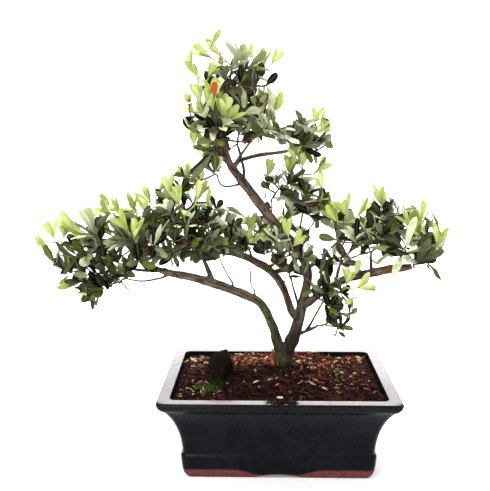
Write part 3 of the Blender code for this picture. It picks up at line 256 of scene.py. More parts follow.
# Leafy sprays: the limb each grows from, then its twig tips: x, y, z in cm, leaf count,
# leaf length in mm, and whether the tip rises or hangs.
SPRAYS = {
    "crown_top": ("trunk", (
        (-5.0, -1.2, 43.2, 5, 30, UP), (-4.0, -2.2, 41.5, 5, 26, UP), (-6.3, 0.8, 41.1, 5, 24, UP),
        (-7.2, -1.6, 41.3, 4, 20, UP),
    )),
    "crown_tip": ("crown_tip", (
        (-2.0, -0.8, 42.3, 6, 26, UP), (-3.2, 1.4, 40.2, 5, 24, UP), (-1.3, -1.8, 41.4, 4, 22, UP),
    )),
    "crown_left": ("crown_left", (
        (-6.4, -2.7, 37.0, 6, 36, UP), (-8.0, -1.0, 35.9, 5, 28, UP), (-5.3, -1.0, 38.1, 4, 26, UP),
        (-7.8, -3.4, 38.2, 4, 30, UP),
    )),
    "crown_mid": ("crown_mid", (
        (-1.3, -1.4, 37.1, 7, 34, UP), (-2.8, 1.8, 38.1, 5, 28, UP), (0.7, -0.4, 36.3, 4, 32, UP),
    )),
    "crown_right": ("crown_right", (
        (3.5, -0.2, 36.5, 6, 24, UP), (2.2, 2.2, 36.0, 5, 22, UP), (5.0, 0.8, 36.0, 5, 22, UP),
        (2.7, 1.2, 37.5, 5, 22, UP),
    )),
    "crown_low": ("crown_low", (
        (-7.9, -2.3, 33.1, 6, 24, UP), (-7.0, -0.4, 34.5, 5, 24, UP), (-9.0, -1.4, 31.4, 3, 15, UP),
    )),
    "crown_back": ("crown_back", (
        (-4.4, 5.2, 36.8, 6, 28, UP), (-6.6, 4.4, 35.9, 5, 26, UP), (-2.3, 4.8, 36.3, 5, 26, UP),
        (-4.5, 3.6, 38.8, 5, 26, UP), (-6.1, 2.8, 39.9, 5, 26, UP),
    )),
    "shoulder_left": ("shoulder_left", ((0.4, 1.4, 30.6, 5, 20, UP), (-1.2, 2.2, 30.3, 4, 18, UP))),
    "shoulder": ("shoulder", (
        (2.8, 0.2, 29.1, 6, 24, UP), (1.3, 1.6, 29.7, 5, 22, UP), (4.4, -0.6, 28.9, 5, 22, UP),
        (2.5, 1.2, 31.0, 5, 22, UP), (4.5, 1.6, 26.5, 5, 22, UP),
    )),
    "back": ("back", (
        (-3.0, 9.4, 25.5, 5, 22, UP), (-1.1, 8.4, 26.6, 5, 22, UP), (-4.5, 9.2, 24.4, 5, 22, UP),
        (0.9, 7.4, 25.8, 5, 22, UP), (0.1, 6.4, 24.0, 5, 20, UP),
    )),
    "right_rise": ("right_rise", (
        (7.8, -1.2, 25.9, 6, 26, UP), (6.5, 0.8, 24.6, 5, 24, UP), (9.3, -1.8, 26.3, 5, 26, UP),
        (8.2, 1.8, 26.0, 5, 24, UP),
    )),
    "right_spur": ("right_spur", (
        (11.4, -0.8, 26.9, 6, 28, UP), (10.2, -1.8, 26.1, 4, 24, UP), (12.9, -0.4, 26.0, 5, 26, UP),
        (12.4, 1.2, 24.7, 5, 24, UP),
    )),
    "right_end": ("right", (
        (13.6, -2.4, 23.0, 7, 38, UP), (15.2, -1.2, 23.7, 5, 32, UP), (13.1, -0.2, 23.7, 5, 32, UP),
        (16.2, -1.8, 22.6, 4, 28, UP),
    )),
    "right_back": ("right_back", (
        (8.1, 4.4, 22.4, 5, 24, UP), (10.0, 3.8, 22.6, 5, 24, UP), (6.2, 3.4, 22.1, 5, 22, UP),
        (11.8, 3.6, 23.3, 5, 24, UP),
    )),
    "low_right": ("low_right", ((5.9, -0.3, 15.5, 6, 22, UP), (6.7, -1.2, 16.9, 4, 18, UP))),
    "low_right_rise": ("low_right_rise", (
        (5.5, -0.5, 18.6, 5, 22, UP), (7.0, -1.0, 19.1, 5, 20, UP), (4.4, 0.4, 19.3, 4, 20, UP),
    )),
    "centre": ("centre_twig", (
        (1.2, 1.4, 21.0, 5, 22, UP), (-0.3, 1.0, 22.0, 5, 20, UP), (-0.9, 0.8, 23.8, 5, 20, UP),
        (1.5, 0.4, 23.1, 5, 20, UP),
    )),
    "middle_twig": ("middle_twig", (
        (-3.5, 3.4, 23.9, 6, 24, UP), (-2.0, 4.0, 25.4, 5, 22, UP), (-5.5, 3.2, 24.2, 5, 24, UP),
    )),
    "left_spur": ("left_spur", (
        (-8.6, -0.6, 24.8, 6, 24, UP), (-7.1, 0.8, 25.2, 5, 24, UP), (-10.1, -1.6, 24.7, 5, 24, UP),
        (-8.2, -0.4, 26.7, 5, 22, UP), (-5.6, 1.8, 23.7, 5, 22, UP), (-10.1, -1.4, 26.6, 5, 22, UP),
        (-11.8, -2.0, 23.8, 5, 24, UP),
    )),
    "middle_end": ("middle", (
        (-12.3, 4.2, 26.2, 6, 24, UP), (-13.7, 4.0, 27.5, 5, 24, UP), (-10.8, 3.4, 27.7, 5, 22, UP),
        (-13.7, 5.0, 24.4, 5, 24, UP), (-9.5, 3.0, 28.6, 5, 22, UP), (-11.9, 6.0, 23.0, 5, 22, UP),
    )),
    "middle_rise": ("middle_rise", (
        (-8.2, 4.4, 26.6, 5, 22, UP), (-7.0, 3.6, 27.9, 5, 22, UP), (-5.8, 5.2, 26.3, 5, 22, UP),
        (-9.7, 6.4, 25.3, 5, 22, UP), (-7.6, 7.4, 23.4, 5, 22, UP),
    )),
    "bough_end": ("left", (
        (-15.3, -3.0, 24.5, 7, 36, UP), (-17.1, -1.0, 24.5, 5, 28, UP), (-14.1, -1.6, 25.5, 5, 28, UP),
        (-15.2, -0.2, 26.6, 5, 26, UP), (-13.2, -3.4, 24.5, 5, 26, UP),
    )),
    "left_tip": ("left_tip", (
        (-20.2, -3.2, 24.8, 6, 34, UP), (-22.1, -3.0, 23.2, 6, 30, UP), (-19.1, -1.8, 23.0, 5, 28, UP),
        (-21.5, -1.2, 21.8, 5, 26, UP), (-18.7, -4.2, 25.0, 4, 26, UP),
    )),
    "left_low": ("left_low", (
        (-17.3, -2.4, 20.3, 5, 18, DOWN), (-20.1, -2.7, 19.4, 5, 22, DOWN),
        (-19.1, -1.8, 21.4, 5, 24, UP), (-21.6, -2.4, 20.5, 4, 22, UP),
    )),
}

# Young shoots: the spray and twig tip each grows from, then its stem ends in the same terms.
SHOOTS = (
    ("crown_top", 0, ((-6.2, -1.5, 44.5, 3, 20), (-7.4, -2.0, 44.3, 2, 20))),
    ("crown_top", 3, ((-8.5, -2.0, 42.4, 3, 20), (-7.3, -2.6, 42.2, 2, 18))),
    ("crown_tip", 0, ((-1.7, -1.0, 43.4, 3, 18), (-0.7, -0.4, 43.7, 2, 18))),
    ("crown_left", 0, ((-5.9, -3.2, 38.5, 5, 24), (-6.9, -3.8, 39.0, 3, 22))),
    ("crown_left", 3, ((-8.2, -3.6, 39.6, 3, 20),)),
    ("crown_mid", 0, ((-1.8, -1.6, 38.7, 3, 22), (-0.5, -1.2, 38.6, 4, 22))),
    ("crown_right", 0, ((3.9, -0.4, 37.7, 3, 18), (4.5, -0.8, 37.3, 2, 16))),
    ("crown_low", 0, ((-8.0, -2.6, 34.3, 4, 20),)),
    ("shoulder_left", 1, ((-1.1, 2.2, 31.9, 4, 18),)),
    ("shoulder", 1, ((1.2, 1.6, 32.2, 4, 20),)),
    ("shoulder", 3, ((2.7, 1.2, 32.8, 3, 22), (4.3, 0.6, 32.2, 3, 20))),
    ("shoulder", 2, ((4.7, -1.0, 30.6, 3, 18),)),
    ("right_rise", 0, ((7.3, -1.6, 27.7, 4, 24), (8.6, -1.0, 27.4, 3, 22))),
    ("right_spur", 0, ((11.1, -0.9, 28.8, 3, 22),)),
    ("right_end", 1, ((14.2, -1.2, 26.4, 3, 24), (15.4, -1.6, 26.9, 4, 24))),
    ("right_end", 3, ((17.1, -2.0, 24.6, 3, 22),)),
    ("right_back", 3, ((12.4, 4.2, 25.0, 3, 20),)),
    ("low_right_rise", 1, ((7.6, -1.2, 20.2, 3, 20), (8.8, -1.4, 19.6, 3, 20))),
    ("centre", 3, ((1.1, 0.2, 25.1, 3, 20),)),
    ("middle_twig", 0, ((-3.2, 3.0, 25.2, 3, 20), (-1.9, 2.6, 24.5, 2, 20))),
    ("left_spur", 5, ((-10.8, -1.6, 29.0, 4, 20), (-8.7, -1.8, 29.6, 3, 20))),
    ("middle_end", 1, ((-14.9, 4.2, 28.5, 3, 22), (-16.4, 4.4, 27.2, 2, 20))),
    ("middle_end", 4, ((-9.2, 3.2, 30.3, 4, 20),)),
    ("bough_end", 0, ((-16.1, -3.6, 26.2, 3, 24),)),
    ("bough_end", 1, ((-18.3, -1.4, 25.4, 3, 24),)),
    ("bough_end", 3, ((-15.9, -0.4, 28.2, 3, 20), (-17.5, -1.0, 28.0, 3, 18))),
    ("left_tip", 0, ((-20.0, -3.4, 26.9, 2, 20), (-22.0, -3.8, 26.5, 3, 24))),
    ("left_tip", 1, ((-24.1, -3.4, 25.4, 2, 22), (-24.6, -3.8, 24.1, 2, 20))),
    ("left_low", 3, ((-22.5, -2.8, 20.0, 3, 18),)),
)

# Outlines of the leafy clumps in the photograph, in its pixels from the top left. What the scene
# adds to the solids' leaves stays in them.
CLUMP_OUTLINES = {
    "left_bough": (
        (34, 238), (46, 224), (60, 215), (68, 207), (82, 201), (92, 200), (104, 192), (113, 201),
        (130, 204), (145, 186), (152, 186), (163, 189), (156, 176), (172, 169), (184, 166), (197, 166),
        (204, 182), (210, 186), (212, 200), (222, 206), (240, 212), (256, 214), (264, 222), (264, 252),
        (246, 252), (234, 249), (216, 262), (204, 256), (192, 268), (176, 268), (163, 262), (156, 282),
        (148, 282), (144, 270), (128, 284), (118, 288), (106, 290), (104, 297), (97, 308), (90, 306),
        (80, 299), (72, 290), (56, 287), (60, 272), (54, 262), (40, 250),
    ),
    "crown": (
        (183, 60), (194, 38), (202, 33), (210, 40), (217, 32), (223, 31), (229, 44), (240, 45), (249, 45),
        (262, 52), (272, 46), (283, 61), (264, 74), (254, 90), (262, 93), (280, 92), (279, 108),
        (274, 120), (290, 122), (300, 118), (306, 115), (322, 116), (333, 124), (334, 140), (345, 151),
        (322, 152), (308, 151), (292, 153), (284, 141), (262, 139), (240, 146), (224, 152), (221, 165),
        (215, 176), (204, 172), (195, 165), (200, 152), (186, 142), (192, 130), (178, 119), (184, 106),
        (184, 90), (198, 80), (188, 70),
    ),
    "shoulder": (
        (262, 162), (280, 158), (290, 152), (302, 150), (314, 150), (324, 160), (322, 172), (318, 180),
        (330, 192), (330, 204), (340, 214), (340, 228), (322, 222), (305, 217), (284, 215), (284, 202),
        (275, 190), (262, 180),
    ),
    "middle": (
        (246, 232), (250, 222), (260, 217), (272, 214), (286, 218), (300, 226), (314, 230), (315, 262),
        (306, 272), (304, 285), (290, 283), (282, 271), (268, 262), (258, 256), (246, 254),
    ),
    "right_bough": (
        (325, 205), (338, 200), (354, 202), (360, 214), (368, 207), (376, 190), (386, 190), (392, 200),
        (400, 208), (412, 204), (428, 203), (434, 216), (445, 226), (447, 238), (442, 252), (434, 264),
        (424, 273), (412, 262), (402, 268), (388, 260), (380, 250), (370, 248), (364, 255), (350, 247),
        (338, 240), (328, 228),
    ),
    "low_right": (
        (311, 262), (322, 254), (340, 256), (350, 249), (355, 262), (363, 263), (365, 276), (374, 292),
        (366, 305), (357, 309), (351, 318), (353, 328), (343, 337), (333, 336), (330, 326), (317, 326),
        (320, 316), (327, 306), (324, 298), (312, 300), (309, 292), (318, 282),
    ),
}


def rounded_ring(inset, height, radius):
    """Corner points of a rounded rectangle, inset from the rim size."""
    half_x = POT_LENGTH / 2 - inset
    half_y = POT_DEPTH / 2 - inset
    points = []
    for corner in range(4):
        sign_x = (1, -1, -1, 1)[corner]
        sign_y = (1, 1, -1, -1)[corner]
        for step in range(CORNER_STEPS + 1):
            angle = math.radians(90 * corner + 90 * step / CORNER_STEPS)
            x = sign_x * (half_x - radius) + radius * math.cos(angle)
            y = sign_y * (half_y - radius) + radius * math.sin(angle)
            points.append(Vector((x, y, height)))
    return points


def side_faces(rings, sides):
    """Four-cornered faces between rings of points that follow each other."""
    faces = []
    for low in range(0, (rings - 1) * sides, sides):
        high = low + sides
        for k in range(sides):
            following = (k + 1) % sides
            faces.append((low + k, low + following, high + following, high + k))
    return faces


def start_cap(sides):
    return tuple(reversed(range(sides)))


def end_cap(verts, sides):
    return tuple(range(len(verts) - sides, len(verts)))


def loft(rings):
    """Faces between rings of equal count, with a flat face closing each end."""
    count = len(rings[0])
    verts = [point for ring in rings for point in ring]
    return verts, [start_cap(count), *side_faces(len(rings), count), end_cap(verts, count)]


def soil_height(x, y):
    """Height of the soil surface: nearly level, rising to the foot of the trunk."""
    away = (x - TRUNK_FOOT[0]) ** 2 + (y - TRUNK_FOOT[1]) ** 2
    mound = SOIL_MOUND * math.exp(-away / (2 * SOIL_MOUND_SPREAD ** 2))
    lumps = 0.0011 * math.sin(x * 97 + 1.3) * math.cos(y * 113 + 0.4)
    return SOIL_EDGE_Z + mound + lumps


def to_metres(row):
    return Vector((row[0] * CM, row[1] * CM, row[2] * CM))


def shell_of_line(points, radii, extra):
    """Closed six-sided bar used only to test for clearance."""
    verts = []
    for k, point in enumerate(points):
        ahead = points[min(k + 1, len(points) - 1)] - points[max(k - 1, 0)]
        ahead.normalize()
        side = ahead.orthogonal().normalized()
        across = ahead.cross(side)
        radius = radii[k] + extra
        for j in range(6):
            angle = math.tau * j / 6
            verts.append(point + side * math.cos(angle) * radius + across * math.sin(angle) * radius)
    return verts, [start_cap(6), *side_faces(len(points), 6), end_cap(verts, 6)]


class Leaf:
    """One blade: where it starts, which way it runs and faces, and its size."""

    def __init__(self, base, along, normal, length, width, bend, kind):
        self.base = base
        self.along = along.normalized()
        side = self.along.cross(normal)
        if side.length < 0.001:
            side = self.along.orthogonal()
        self.side = side.normalized()
        self.normal = self.side.cross(self.along).normalized()
        self.length = length
        self.width = width
        self.bend = bend
        self.kind = kind

    def point(self, share):
        sag = self.bend * share * share * self.length
        return self.base + self.along * (share * self.length) - self.normal * sag

    def shell(self, extra=0.0):
        """Closed blade of triangular section: flat above, keeled below, pointed at the tip."""
        root_half = (0.60 if self.kind == "old" else 0.48) * MM + extra
        keel = (0.95 if self.length > 0.026 else 0.80) * MM + 2 * extra
        root = (0.0, root_half, 0.75 * MM + 2 * extra)
        if self.length > LONG_LEAF:
            lower = (0.36, self.width * 0.43 + extra, keel)
            upper = (0.72, self.width * 0.47 + extra, keel * 0.9)
            rows = (root, lower, upper)
        else:
            rows = (root, (0.58, self.width * 0.52 + extra, keel))
        verts = []
        for share, half, depth in rows:
            centre = self.point(share) + self.normal * extra
            verts.append(centre - self.side * half)
            verts.append(centre + self.side * half)
            verts.append(centre - self.normal * depth)
        verts.append(self.point(1.0 + extra / self.length))
        faces = [(0, 1, 2)]
        last = 3 * (len(rows) - 1)
        for low in range(0, last, 3):
            faces.append((low, low + 3, low + 4, low + 1))
            faces.append((low + 1, low + 4, low + 5, low + 2))
            faces.append((low + 2, low + 5, low + 3, low))
        tip = last + 3
        faces += [(last, tip, last + 1), (last + 1, tip, last + 2), (last + 2, tip, last)]
        return verts, faces

    def outer_shell(self):
        """The blade without its narrow root."""
        verts, faces = self.shell()
        middle = self.point(0.3)
        thin = 0.3 * MM
        verts[0] = middle - self.side * self.width * 0.3
        verts[1] = middle + self.side * self.width * 0.3
        verts[2] = middle - self.normal * thin
        return verts, faces


def search_tree(verts, faces):
    return BVHTree.FromPolygons([tuple(v) for v in verts], faces)


def box_of(verts):
    low = [min(v[i] for v in verts) for i in range(3)]
    high = [max(v[i] for v in verts) for i in range(3)]
    return low, high


class Space:
    """Keeps the outline of everything placed so far, by node, to test new pieces against."""

    def __init__(self):
        self.shells = {}

    def add(self, owner, shell):
        low, high = box_of(shell[0])
        self.shells.setdefault(owner, []).append((low, high, search_tree(*shell)))

    def clear(self, owners, shell, within=False):
        """True if nothing of another owner is met, or nothing of these owners if within."""
        low, high = box_of(shell[0])
        tree = None
        for name, entries in self.shells.items():
            if (name in owners) != within:
                continue
            for other_low, other_high, other in entries:
                if any(low[i] > other_high[i] or high[i] < other_low[i] for i in range(3)):
                    continue
                if tree is None:
                    tree = search_tree(*shell)
                if tree.overlap(other):
                    return False
        return True


def bezier(start, start_way, end, end_way, steps):
    reach = (end - start).length * 0.36
    first = start + start_way * reach
    second = end - end_way * reach
    points = []
    for k in range(steps + 1):
        t = k / steps
        s = 1 - t
        points.append(start * s ** 3 + first * 3 * s * s * t + second * 3 * s * t * t + end * t ** 3)
    return points


class Branchlet:
    """Twigs and leaves that grow as one body."""

    def __init__(self, name, kind):
        self.name = name
        self.kind = kind
        self.twigs = []
        self.leaves = []
        self.tips = []
        self.solid_tips = 0
        self.solid_leaves = 0


def limb_lines():
    lines = {}
    for name, rows in LIMBS.items():
        lines[name] = ([to_metres(row) for row in rows], [row[3] * MM for row in rows])
    return lines


def spray_centre(rows):
    total = Vector((0, 0, 0))
    for row in rows:
        total += to_metres(row)
    return total / len(rows)


def grow_twig(space, plant, start, way, tip, axis, radii, rng, host):
    """Bend a twig from start to tip so that it clears every other piece."""
    steps = 3 if (tip - start).length > 0.024 else 2
    radii = radii[:steps] + radii[-1:]
    for attempt in range(TWIG_ATTEMPTS):
        spread = 0.10 * attempt
        shake = Vector((rng.uniform(-1, 1), rng.uniform(-1, 1), rng.uniform(-1, 1))) * spread
        end_way = (axis + shake).normalized()
        end = tip + shake * max(0, attempt - 3) * 0.6 * MM
        points = bezier(start, way, end, end_way, steps)
        if host != plant.name:
            slant = (points[1] - points[0]).angle(way)
            points[0] = start + way * (GAP + radii[0] * math.sin(slant))
            beyond = [points[0].lerp(points[1], 0.4)] + points[1:]
            if not space.clear((host,), shell_of_line(beyond, radii, 0.3 * MM), True):
                continue
        if space.clear((plant.name, host), shell_of_line(points, radii, 0.5 * MM)):
            plant.twigs.append((points, radii))
            space.add(plant.name, shell_of_line(points, radii, 0.2 * MM))
            return points, points[-1] - points[-2]
    return None, None


def nearest_start(plant, tip, rises):
    """Where on a plant's twigs a new twig to this tip leaves, and which way it sets off."""
    nearest = None
    for points, _ in plant.twigs:
        for k in range(len(points) - 1):
            for share in (0.0, 0.5):
                if k == 0 and share == 0.0:
                    share = 0.25
                spot = points[k].lerp(points[k + 1], share)
                rise = max(0.0, spot.z - tip.z) if rises else 0.0
                cost = (tip - spot).length + rise * 1.5
                if nearest is None or cost < nearest[0]:
                    nearest = (cost, spot, (points[k + 1] - points[k]).normalized())
    start = nearest[1]
    return start, (nearest[2] * 0.5 + (tip - start).normalized()).normalized()


def grow_sprays(space, lines, rng):
    sprays = {}
    for name, (limb, rows) in SPRAYS.items():
        plant = Branchlet("spray_" + name, "old")
        sprays[name] = plant
        line, radii = lines[limb]
        way = (line[-1] - line[-2]).normalized()
        root = line[-1]
        root_radius = min(radii[-1], 1.25 * MM)
        middle = spray_centre(rows)
        for row in rows:
            tip = to_metres(row)
            outward = tip - middle
            outward.z *= 0.3
            lean = outward * 22 + Vector((0, 0, row[5] * 0.9)) + (tip - root).normalized() * 0.5
            lean.normalize()
            host = plant.name
            if not plant.twigs:
                start = root
                start_way = way
                start_radius = root_radius
                host = limb
            else:
                start, start_way = nearest_start(plant, tip, row[5] == UP)
                start_radius = TWIG_RADIUS
            sizes = [start_radius, (start_radius + TWIG_RADIUS) / 2, TWIG_RADIUS, TWIG_RADIUS * 0.95]
            points, last = grow_twig(space, plant, start, start_way, tip, lean, sizes, rng, host)
            if points is None:
                plant.tips.append(None)
                continue
            plant.tips.append((points[-1], last, row[3], row[4] * MM))
    return sprays


def grow_shoots(space, sprays, rng):
    shoots = []
    for number, (spray, index, rows) in enumerate(SHOOTS):
        tip = sprays[spray].tips[index]
        if tip is None:
            continue
        plant = Branchlet("young_shoot_%02d" % (number + 1), "young")
        tip_way = tip[1].normalized()
        root = tip[0]
        for row in rows:
            end = to_metres(row)
            lean = ((end - root).normalized() + Vector((0, 0, 1.1))).normalized()
            start = root if not plant.twigs else plant.twigs[0][0][1]
            way = tip_way if not plant.twigs else (end - start).normalized()
            sizes = [STEM_RADIUS * 1.15, STEM_RADIUS * 1.05, STEM_RADIUS, STEM_RADIUS * 0.95]
            host = plant.name if plant.twigs else sprays[spray].name
            points, last = grow_twig(space, plant, start, way, end, lean, sizes, rng, host)
            if points is None:
                plant.tips.append(None)
                continue
            plant.tips.append((points[-1], last, row[3], row[4] * MM))
        if plant.twigs:
            shoots.append(plant)
    return shoots


# How the leaves of a whorl stand: opening in degrees and how far it strays with each attempt,
# how far down the twig the first and each next one starts in mm, width and bend for a length of 1.
WHORLS = {
    "old": {"opening": (46, 82), "stray": 9, "first": 1.1, "next": 0.75,
            "width": (0.36, 0.43), "bend": (0.05, 0.28)},
    "young": {"opening": (16, 44), "stray": 7, "first": 0.6, "next": 0.8,
              "width": (0.38, 0.46), "bend": (-0.12, 0.12)},
}
OPENING_PLAY = 9
WIDEST_LEAF = 12.5 * MM


def leaf_in_whorl(tip, last, order, length, plant, rng, attempt, turn, opening=None):
    """Aim one leaf of a whorl; later attempts stray further from the even spacing."""
    axis = last.normalized()
    side = axis.orthogonal().normalized()
    other = axis.cross(side)
    room = last.length * 0.85
    stray = 0.30 * attempt
    angle = turn + order * GOLDEN_ANGLE + rng.uniform(-0.25 - stray, 0.25 + stray)
    shape = WHORLS[plant.kind]
    if opening is None or plant.kind == "young":
        lift = rng.uniform(*shape["opening"])
    else:
        lift = opening + rng.uniform(-OPENING_PLAY, OPENING_PLAY)
    lift = math.radians(lift + rng.uniform(-1, 1) * shape["stray"] * attempt)
    base = tip - axis * min((shape["first"] + shape["next"] * order) * MM, room)
    width = min(length * rng.uniform(*shape["width"]), WIDEST_LEAF)
    bend = rng.uniform(*shape["bend"])
    radial = side * math.cos(angle) + other * math.sin(angle)
    along = axis * math.cos(lift) + radial * math.sin(lift)
    normal = axis * math.sin(lift) - radial * math.cos(lift)
    size = length * rng.uniform(0.84, 1.08) * (1.0 - 0.03 * attempt)
    return Leaf(base, along, normal, size, width, bend, plant.kind)


def set_leaf(space, plant, rng, tip, order, length, turn, open_attempts, room, opening=None):
    """Aim a leaf of a whorl wider and wider until it clears all other pieces."""
    place, last = tip[:2]
    for attempt in range(LEAF_ATTEMPTS):
        leaf = leaf_in_whorl(place, last, order, length, plant, rng, attempt, turn, opening)
        if leaf.point(1.0).z < LOWEST_LEAF_TIP:
            continue
        if attempt < open_attempts and not space.clear((plant.name,), leaf.outer_shell(), True):
            continue
        if space.clear((plant.name,), leaf.shell(room)):
            plant.leaves.append(leaf)
            space.add(plant.name, leaf.shell(0.0))
            return


def grow_leaves(space, plant, rng, share):
    for tip in plant.tips:
        if tip is None:
            continue
        total, length = tip[2:]
        turn = rng.uniform(0, math.tau)
        for order in range(max(2, round(total * share))):
            set_leaf(space, plant, rng, tip, order, length, turn, 8, 0.28 * MM)


def view_axes():
    """The camera's right, up and forward ways."""
    level = math.cos(CAMERA_PITCH)
    ahead = Vector((math.sin(CAMERA_YAW) * level, math.cos(CAMERA_YAW) * level, -math.sin(CAMERA_PITCH)))
    right = Vector((math.cos(CAMERA_YAW), -math.sin(CAMERA_YAW), 0.0))
    up = right.cross(ahead)
    rolled_right = right * math.cos(CAMERA_ROLL) + up * math.sin(CAMERA_ROLL)
    rolled_up = up * math.cos(CAMERA_ROLL) - right * math.sin(CAMERA_ROLL)
    return rolled_right, rolled_up, ahead


def in_a_clump(place):
    """Whether a place, seen through the camera, lies inside one of the clump outlines."""
    right, up, ahead = view_axes()
    way = place - Vector(CAMERA_PLACE)
    scale = FOCAL_PIXELS / way.dot(ahead)
    x = IMAGE_WIDTH / 2 + way.dot(right) * scale
    y = IMAGE_HEIGHT / 2 - way.dot(up) * scale
    for outline in CLUMP_OUTLINES.values():
        inside = False
        for (x1, y1), (x2, y2) in zip(outline, outline[1:] + outline[:1]):
            if (y1 > y) != (y2 > y) and x < x1 + (y - y1) / (y2 - y1) * (x2 - x1):
                inside = not inside
        if inside:
            return True
    return False


def seen_apart(first, second):
    """Distance between two places as seen from the front."""
    return math.hypot(first.x - second.x, first.z - second.z)


def more_tips(plant, taken, rng):
    """Ends of further twigs: near the plant's own tips, in a clump, in the widest gap between tips."""
    own = [tip for tip in plant.tips if tip is not None]
    near, far = TWIG_SPREAD[plant.kind]
    drawn = []
    for _ in range(round(len(own) * MORE_TWIGS[plant.kind])):
        best = None
        for _ in range(TWIG_TRIES):
            place, _last, total, length = rng.choice(own)
            across = rng.uniform(-far, far)
            deep = rng.uniform(-far, far) * TWIG_DEPTH_SHARE
            spot = place + Vector((across, deep, rng.uniform(-far, far)))
            room = min(seen_apart(spot, other) for other in taken)
            if room > near and (best is None or room > best[0]) and in_a_clump(spot):
                best = (room, spot, total, length)
        if best is not None:
            taken.append(best[1])
            drawn.append(best[1:])
    return drawn


def grow_more_twigs(space, plant, taken, rng):
    """Branch further twigs off a plant's own, out to the added tips."""
    plant.solid_tips = len(plant.tips)
    plant.solid_leaves = len(plant.leaves)
    thickness = TWIG_RADIUS * 0.85 if plant.kind == "old" else STEM_RADIUS
    for tip, total, length in more_tips(plant, taken, rng):
        start, start_way = nearest_start(plant, tip, True)
        if (tip - start).length > LONGEST_ADDED_TWIG:
            continue
        start_way = (start_way + (tip - start).normalized()).normalized()
        lean = ((tip - start).normalized() + Vector((0, 0, 0.35))).normalized()
        sizes = [thickness, thickness, thickness * 0.95, thickness * 0.9]
        points, last = grow_twig(space, plant, start, start_way, tip, lean, sizes, rng, plant.name)
        if points is not None:
            last = (last.normalized() + Vector((0.0, 0.0, 0.6))).normalized() * last.length
            plant.tips.append((points[-1], last, total, length))


def grow_more_leaves(space, plant, rng):
    """Fill each whorl up to its own count and a few leaves more, at all the twig tips."""
    share = WHORL_SHARE if plant.kind == "old" else YOUNG_SHARE
    extra = MORE_OLD_LEAVES if plant.kind == "old" else MORE_YOUNG_LEAVES
    for number, tip in enumerate(plant.tips):
        if tip is None:
            continue
        total, length = tip[2:]
        turn = rng.uniform(0, math.tau)
        solid = number < plant.solid_tips
        for order in range(max(2, round(total * share)) if solid else 0, total + extra):
            size = length * (1.0 if not solid or order < total else 0.84)
            opening = 24 + 46 * order / (total + extra)
            set_leaf(space, plant, rng, tip, order * 0.7, size, turn, 3, 0.1 * MM, opening)


def stays_in_clump(leaf):
    return all(in_a_clump(leaf.point(share)) for share in LEAF_TEST_SHARES)


def grow_full_tree():
    rng = random.Random(LEAF_SEED)
    space = Space()
    lines = limb_lines()
    for name, (points, radii) in lines.items():
        space.add(name, shell_of_line(points, [radius * 1.12 for radius in radii], 0.3 * MM))
    sprays = grow_sprays(space, lines, rng)
    shoots = grow_shoots(space, sprays, rng)
    for plant in shoots:
        grow_leaves(space, plant, rng, YOUNG_SHARE)
    for plant in sprays.values():
        grow_leaves(space, plant, rng, WHORL_SHARE)
    plants = [*shoots, *sprays.values()]
    taken = [tip[0] for plant in plants for tip in plant.tips if tip is not None]
    for plant in plants:
        grow_more_twigs(space, plant, taken, random.Random(plant.name))
    for plant in plants:
        grow_more_leaves(space, plant, random.Random(plant.name))
        added = plant.leaves[plant.solid_leaves:]
        plant.leaves[plant.solid_leaves:] = [leaf for leaf in added if stays_in_clump(leaf)]
    return lines, list(sprays.values()), shoots


# Mesh helpers

def new_collection(name):
    group = bpy.data.collections.new(name)
    bpy.context.scene.collection.children.link(group)
    return group


def make_object(name, verts, faces, edges=(), group=None):
    mesh = bpy.data.meshes.new(name)
    mesh.from_pydata([tuple(v) for v in verts], list(edges), faces)
    item = bpy.data.objects.new(name, mesh)
    (group or bpy.context.scene.collection).objects.link(item)
    return item


def store(mesh, name, kind, values):
    """Keep one value per point on a mesh, for its material or its geometry tree."""
    field = {"FLOAT_VECTOR": "vector", "FLOAT": "value", "INT": "value", "BOOLEAN": "value"}[kind]
    layer = mesh.attributes.new(name, kind, "POINT")
    layer.data.foreach_set(field, np.array(values).ravel())


def keep_evaluated(item):
    """Swap an object's mesh for the one its modifiers make."""
    bpy.context.view_layer.update()
    seen = item.evaluated_get(bpy.context.evaluated_depsgraph_get())
    mesh = bpy.data.meshes.new_from_object(seen)
    item.modifiers.clear()
    item.data = mesh


def run_tree(item, tree, values):
    """Run a geometry tree with its named inputs filled, and keep the result as a plain mesh."""
    modifier = item.modifiers.new(tree.name, "NODES")
    modifier.node_group = tree
    for socket in tree.interface.items_tree:
        if socket.in_out == "INPUT" and socket.name in values:
            modifier[socket.identifier] = values[socket.name]
    keep_evaluated(item)


def face_outward(item):
    work = bmesh.new()
    work.from_mesh(item.data)
    bmesh.ops.remove_doubles(work, verts=work.verts, dist=0.01 * MM)
    bmesh.ops.recalc_face_normals(work, faces=work.faces)
    work.to_mesh(item.data)
    work.free()


def shade(item, angle=None):
    """Smooth shading, with edges sharper than an angle kept crisp."""
    item.data.shade_smooth()
    if angle is not None:
        item.data.set_sharp_from_angle(angle=math.radians(angle))


def set_finish(item, finish):
    item.data.materials.clear()
    item.data.materials.append(finish)


def cut(item, cutter):
    boolean = item.modifiers.new("cut", "BOOLEAN")
    boolean.operation = "DIFFERENCE"
    boolean.object = cutter
    boolean.solver = "EXACT"
    keep_evaluated(item)
    bpy.data.objects.remove(cutter, do_unlink=True)


def object_from(work, name):
    """An object with the mesh that was worked on."""
    mesh = bpy.data.meshes.new(name)
    work.to_mesh(mesh)
    work.free()
    item = bpy.data.objects.new(name, mesh)
    bpy.context.scene.collection.objects.link(item)
    return item


def block(size, centre):
    work = bmesh.new()
    bmesh.ops.create_cube(work, size=1.0)
    bmesh.ops.scale(work, vec=size, verts=work.verts)
    bmesh.ops.translate(work, vec=centre, verts=work.verts)
    return object_from(work, "block")


